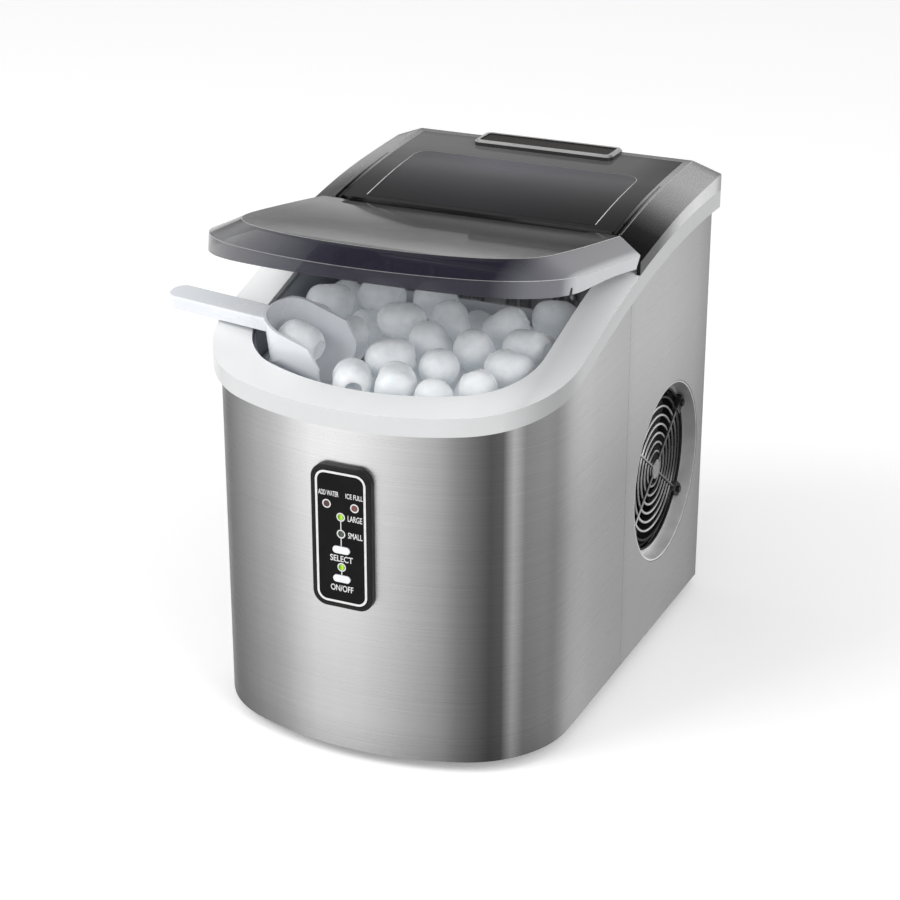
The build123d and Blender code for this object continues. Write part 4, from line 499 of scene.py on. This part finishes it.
# ---------------------------------------------------------------- ice, softened as it melts
ice_voxel = 0.0011
ice_smoothings = 5
least_melt, broad_melt, fine_melt = 0.0001, 0.0014, 0.0003      # how far the surface goes in
broad_scale, fine_scale = 75, 260       # of that unevenness, per metre


def lumps_of(mesh):
    """The separate solids in a mesh, each as a mesh of its own."""
    whole = bmesh.new()
    whole.from_mesh(mesh)
    bmesh.ops.remove_doubles(whole, verts=whole.verts, dist=1e-5)
    unseen = set(whole.verts)
    while unseen:
        reached, front = set(), [next(iter(unseen))]
        while front:
            vert = front.pop()
            if vert not in reached:
                reached.add(vert)
                front += [edge.other_vert(vert) for edge in vert.link_edges]
        unseen -= reached
        faces = {face for vert in reached for face in vert.link_faces}
        part = bmesh.new()
        copies = {vert: part.verts.new(vert.co) for vert in reached}
        for face in faces:
            part.faces.new([copies[vert] for vert in face.verts])
        result = bpy.data.meshes.new("lump")
        part.to_mesh(result)
        part.free()
        yield result
    whole.free()


def uneven(spot, scale):
    """Smooth noise at a point, mostly between 0 and 1 and never below 0."""
    return max(0.5 + 0.5 * space_noise.noise(spot * scale), 0)


def melted(name, node, body):
    """Stands in for a node with its lumps rounded off, uneven and a little smaller."""
    worker = bpy.data.objects.new("worker", bpy.data.meshes.new("worker"))
    bpy.context.scene.collection.objects.link(worker)
    remesh = worker.modifiers.new("remesh", "REMESH")
    remesh.mode = "VOXEL"
    remesh.voxel_size = ice_voxel
    result = bmesh.new()
    for lump in lumps_of(nodes[node].data):
        worker.data = lump
        depsgraph = bpy.context.evaluated_depsgraph_get()
        fine = bpy.data.meshes.new_from_object(worker.evaluated_get(depsgraph))
        part = bmesh.new()
        part.from_mesh(fine)
        for _ in range(ice_smoothings):
            bmesh.ops.smooth_vert(part, verts=part.verts, factor=0.5,
                                  use_axis_x=True, use_axis_y=True, use_axis_z=True)
        part.normal_update()
        moves = []
        for vert in part.verts:
            depth = (least_melt + broad_melt * uneven(vert.co, broad_scale)
                     + fine_melt * uneven(vert.co, fine_scale))
            moves.append(vert.normal * -depth)
        for vert, move in zip(part.verts, moves):
            vert.co += move
        part.to_mesh(fine)
        part.free()
        result.from_mesh(fine)
    bpy.data.objects.remove(worker)
    mesh = bpy.data.meshes.new(name)
    result.to_mesh(mesh)
    result.free()
    piece = put(name, mesh, by_slot["ice"], body)
    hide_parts(node)


melted("melting_ice", "ice_pieces", "basket")
melted("melting_ice_in_scoop", "scooped_ice", "scoop")


# ---------------------------------------------------------------- print on the control panel
# Places on the panel are in millimetres from its middle: across, and up.
print_lift = 0.00006        # metres proud of the panel's face
letter_weight = 0.014       # how far the lettering's outline grows
border_outside, border_inside = (17.2, 44.0, 6.8), (15.7, 42.5, 5.3)    # half sizes and corner
lamp_places = ((-9.5, 22.0), (9.5, 22.0), (0.0, 14.5), (0.0, 3.2), (0.0, -19.3))
ring_outside, ring_inside = 2.9, 2.1
line_width = 0.6


def on_panel(x, z):
    """A place on the panel as a point in metres."""
    return (x / 1000, panel_low[1] - print_lift, (panel_middle + z) / 1000)


def label(words, left, right, low, high):
    """Flat lettering that fills the stated place."""
    curve = bpy.data.curves.new("words", "FONT")
    curve.body = words
    curve.offset = letter_weight
    source = bpy.data.objects.new("words", curve)
    bpy.context.scene.collection.objects.link(source)
    depsgraph = bpy.context.evaluated_depsgraph_get()
    mesh = bpy.data.meshes.new_from_object(source.evaluated_get(depsgraph))
    bpy.data.objects.remove(source)
    xs, ys = [vert.co.x for vert in mesh.vertices], [vert.co.y for vert in mesh.vertices]
    first_x, width, first_y, height = min(xs), max(xs) - min(xs), min(ys), max(ys) - min(ys)
    for vert in mesh.vertices:
        x = left + (vert.co.x - first_x) / width * (right - left)
        z = low + (vert.co.y - first_y) / height * (high - low)
        vert.co = on_panel(x, z)
    name = "print_" + words.lower().replace(" ", "_").replace("/", "_")
    put(name, mesh, ink, "cabinet", False)


def rounded(half_width, half_height, radius, steps=8):
    """Points round an upright rounded rectangle about the panel's middle."""
    x, z = half_width - radius, half_height - radius
    points = []
    for side, end, start in ((1, 1, 0), (-1, 1, 90), (-1, -1, 180), (1, -1, 270)):
        for i in range(steps + 1):
            turn = math.radians(start + 90 * i / steps)
            points.append(on_panel(side * x + radius * math.cos(turn),
                                   end * z + radius * math.sin(turn)))
    return points


def circle(x, z, radius, steps=32):
    turns = [math.tau * i / steps for i in range(steps)]
    return [on_panel(x + radius * math.cos(turn), z + radius * math.sin(turn)) for turn in turns]


def band(name, outer, inner):
    """A printed band between two loops of the same number of points."""
    count = len(outer)
    faces = [(i, (i + 1) % count, count + (i + 1) % count, count + i) for i in range(count)]
    put_faces(name, outer + inner, faces, ink, "cabinet")


def line(name, low, high):
    """An upright printed line up the panel's middle."""
    side = line_width / 2
    corners = [on_panel(x, z) for x, z in ((-side, low), (side, low), (side, high), (-side, high))]
    put_faces(name, corners, [(0, 1, 2, 3)], ink, "cabinet")


label("ADD WATER", -15.0, -1.2, 27.6, 31.0)
label("ICE FULL", 3.6, 15.2, 27.6, 31.0)
label("LARGE", 4.8, 14.6, 12.5, 16.5)
label("SMALL", 4.8, 14.6, 1.2, 5.2)
label("SELECT", -7.75, 7.75, -15.7, -11.5)
label("ON/OFF", -7.75, 7.75, -35.8, -31.6)
band("print_border", rounded(*border_outside), rounded(*border_inside))
for i, (x, z) in enumerate(lamp_places):
    band(f"print_ring_{i}", circle(x, z, ring_outside), circle(x, z, ring_inside))
line("print_line_large_small", 6.1, 11.6)
line("print_line_small_select", -5.2, 0.3)
line("print_line_power", -24.7, -22.2)


# ---------------------------------------------------------------- painted highlight round the window
window_low, window_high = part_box("cover_window")
top_panel = nodes["cover_top_panel"].data
top_skin = BVHTree.FromPolygons([vert.co.copy() for vert in top_panel.vertices],
                                [list(face.vertices) for face in top_panel.polygons])
beside_window = (window_high[0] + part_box("cover_top_panel")[1][0]) / 2
window_corner = 0.010
window_line_outside, window_line_inside = 0.0004, -0.0002       # from the window's edge
window_line_start = 0.001       # behind the window's front edge
window_line_lift = 0.00006
well_above = 1.0        # where the line's height is looked for from


def window_edge(grow, side_steps=24, corner_steps=8):
    """Points along the window's left side, its rear with round corners, and its right side.

    The top is straight from side to side, so its height is read beside the window."""
    half, rear = window_high[0] + grow, window_high[1] + grow
    front = window_low[1] + window_line_start
    radius = window_corner + grow
    length = rear - radius - front
    path = [(-half, front + length * i / side_steps) for i in range(side_steps)]
    for start, centre in ((180, radius - half), (90, half - radius)):
        for i in range(corner_steps + 1):
            turn = math.radians(start - 90 * i / corner_steps)
            path.append((centre + radius * math.cos(turn),
                         front + length + radius * math.sin(turn)))
    path += [(half, front + length - length * i / side_steps) for i in range(1, side_steps + 1)]
    points = []
    for x, y in path:
        top = top_skin.ray_cast(Vector((beside_window, y, well_above)), Vector((0, 0, -1)))[0]
        points.append((x, y, top.z + window_line_lift))
    return points


outer, inner = window_edge(window_line_outside), window_edge(window_line_inside)
count = len(outer)
put_faces("window_line", outer + inner,
          [(i, i + 1, count + i + 1, count + i) for i in range(count - 1)],
          window_glint, "cabinet")


# ---------------------------------------------------------------- light on the moulded edges
edge_lift = 0.00005
fine_edge, broad_edge = 0.0005, 0.0006      # widths of the light
beside_panel = 0.1      # how far out the cover's crests are


def edge_light(name, node, body, material, picks, width):
    """Thin bands along a node's edges, on the first of the two faces that picks chooses."""
    source = bmesh.new()
    source.from_mesh(nodes[node].data)
    bmesh.ops.remove_doubles(source, verts=source.verts, dist=1e-6)
    source.normal_update()
    verts, faces = [], []
    for edge in source.edges:
        if len(edge.link_faces) != 2:
            continue
        first, second = (vert.co for vert in edge.verts)
        for face, other in (edge.link_faces, reversed(edge.link_faces)):
            if picks(face.normal, other.normal, (first + second) / 2):
                inward = face.normal.cross(second - first).normalized() * width
                if inward.dot(face.calc_center_median() - first) < 0:
                    inward = -inward
                lift = face.normal * edge_lift
                start = len(verts)
                verts += [first + lift, second + lift,
                          second + inward + lift, first + inward + lift]
                faces.append((start, start + 1, start + 2, start + 3))
    source.free()
    put_faces(name, verts, faces, material, body)


def lid_slope(normal):
    """Whether a normal is one of the lid's sloping border."""
    return 0.8 < normal.dot(lid_up) < 0.95


def lid_crease(face, other, middle):
    """Where the border meets the lid's flat top."""
    return lid_slope(face) and other.dot(lid_up) > 0.99


def lid_brim(face, other, middle):
    """Where the border meets the lid's upright rim."""
    return lid_slope(face) and abs(other.dot(lid_up)) < 0.3


def cover_crest(face, other, middle):
    """Where the cover's flanks meet its top, out beside the top panel."""
    return 0.3 < face.z < 0.97 and other.z > 0.975 and abs(middle.x) > beside_panel


edge_light("lid_crease", "lid_shell", "lid", lid_glint, lid_crease, fine_edge)
edge_light("lid_brim", "lid_shell", "lid", lid_glint, lid_brim, broad_edge)
edge_light("cover_crest", "cover_frame", "cabinet", crest_glint, cover_crest,
           fine_edge)


# ---------------------------------------------------------------- floor
floor_side, floor_behind = 30, 60
floor_glow = 0.22       # so that the floor looks white, without lighting the object
floor_paint, tree, shader = new_material("floor_paint")
for key, value in {"Base Color": (0.93, 0.93, 0.93, 1), "Roughness": 0.9,
                   "Specular IOR Level": 0.1, "Emission Color": (1, 1, 1, 1)}.items():
    shader.inputs[key].default_value = value
rays = add(tree, "ShaderNodeLightPath")
seen = maths(tree, "MAXIMUM", rays.outputs["Is Camera Ray"], rays.outputs["Is Transmission Ray"])
seen = maths(tree, "MAXIMUM", seen, rays.outputs["Is Glossy Ray"])
tree.links.new(mapped(tree, seen, 0, floor_glow, 0, 1), shader.inputs["Emission Strength"])
mesh = bpy.data.meshes.new("floor")
mesh.from_pydata([(-floor_side, -floor_side, 0), (floor_side, -floor_side, 0),
                  (floor_side, floor_behind, 0), (-floor_side, floor_behind, 0)],
                 [], [(0, 1, 2, 3)])
mesh.materials.append(floor_paint)
floor = bpy.data.objects.new("floor", mesh)
bpy.context.scene.collection.objects.link(floor)
floor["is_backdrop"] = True


# ---------------------------------------------------------------- lamps and studio
aim = Vector((0, 0, 0.2))       # the middle of the object


def soft_lamp(name, spot, size, power):
    """A rectangular lamp at a spot, turned to the middle of the object, its power in watts."""
    data = bpy.data.lights.new(name, "AREA")
    data.shape = "RECTANGLE"
    data.size, data.size_y = size
    data.energy = power
    lamp = bpy.data.objects.new(name, data)
    lamp.location = spot
    lamp.rotation_euler = (Vector(spot) - aim).to_track_quat("Z", "Y").to_euler()
    bpy.context.scene.collection.objects.link(lamp)


soft_lamp("key", (-1.5, -1.7, 2.0), (1.4, 1.4), 33)
soft_lamp("fill", (1.9, -1.0, 1.5), (1.2, 1.6), 16)

# The studio is bright, but dark high up behind the object, and in a card low behind it on the left
# that the lid's flat top would mirror. The camera itself sees white.
dark_card, card_cosines = Vector((-0.39, 0.92, 0.07)).normalized(), (0.93, 0.97)
dark_from_y, dark_from_z = (-0.2, 0.3), (0.36, 0.62)        # of a direction, where it sets in
bright, dark, white = grey(1.0), grey(0.12), (1, 1, 1, 1)
world = bpy.data.worlds.new("studio")
bpy.context.scene.world = world
world.use_nodes = True
tree = world.node_tree
direction = add(tree, "ShaderNodeTexCoord").outputs["Generated"]
split = add(tree, "ShaderNodeSeparateXYZ")
tree.links.new(direction, split.inputs[0])
behind = mapped(tree, split.outputs["Y"], 0, 1, *dark_from_y)
high_up = mapped(tree, split.outputs["Z"], 0, 1, *dark_from_z)
card = towards(tree, direction, dark_card, *card_cosines)
darkness = maths(tree, "MAXIMUM", maths(tree, "MULTIPLY", behind, high_up), card)
studio = tones(tree, darkness, ((0.0, bright), (1.0, dark)))
camera_rays = add(tree, "ShaderNodeLightPath").outputs["Is Camera Ray"]
background = tree.nodes["Background"]
tree.links.new(mixed(tree, camera_rays, studio, white), background.inputs["Color"])
background.inputs["Strength"].default_value = 1.0


# ---------------------------------------------------------------- camera
# Fitted to the photograph by the body's corners, the rim, the cover and the vent.
camera_place = (0.591, -1.298, 0.755)
camera_dip, camera_turn = 22.98, 24.67      # degrees below level, and round from the front
camera_data = bpy.data.cameras.new("camera")
camera_data.lens = 92.0
camera_data.sensor_width = 36.0
camera = bpy.data.objects.new("camera", camera_data)
camera.location = camera_place
camera.rotation_euler = (math.radians(90 - camera_dip), 0, math.radians(camera_turn))
bpy.context.scene.collection.objects.link(camera)
bpy.context.scene.camera = camera
bpy.context.scene.view_settings.view_transform = "Standard"

[[list(corner) for corner in box] for box in (cad_box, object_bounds())]
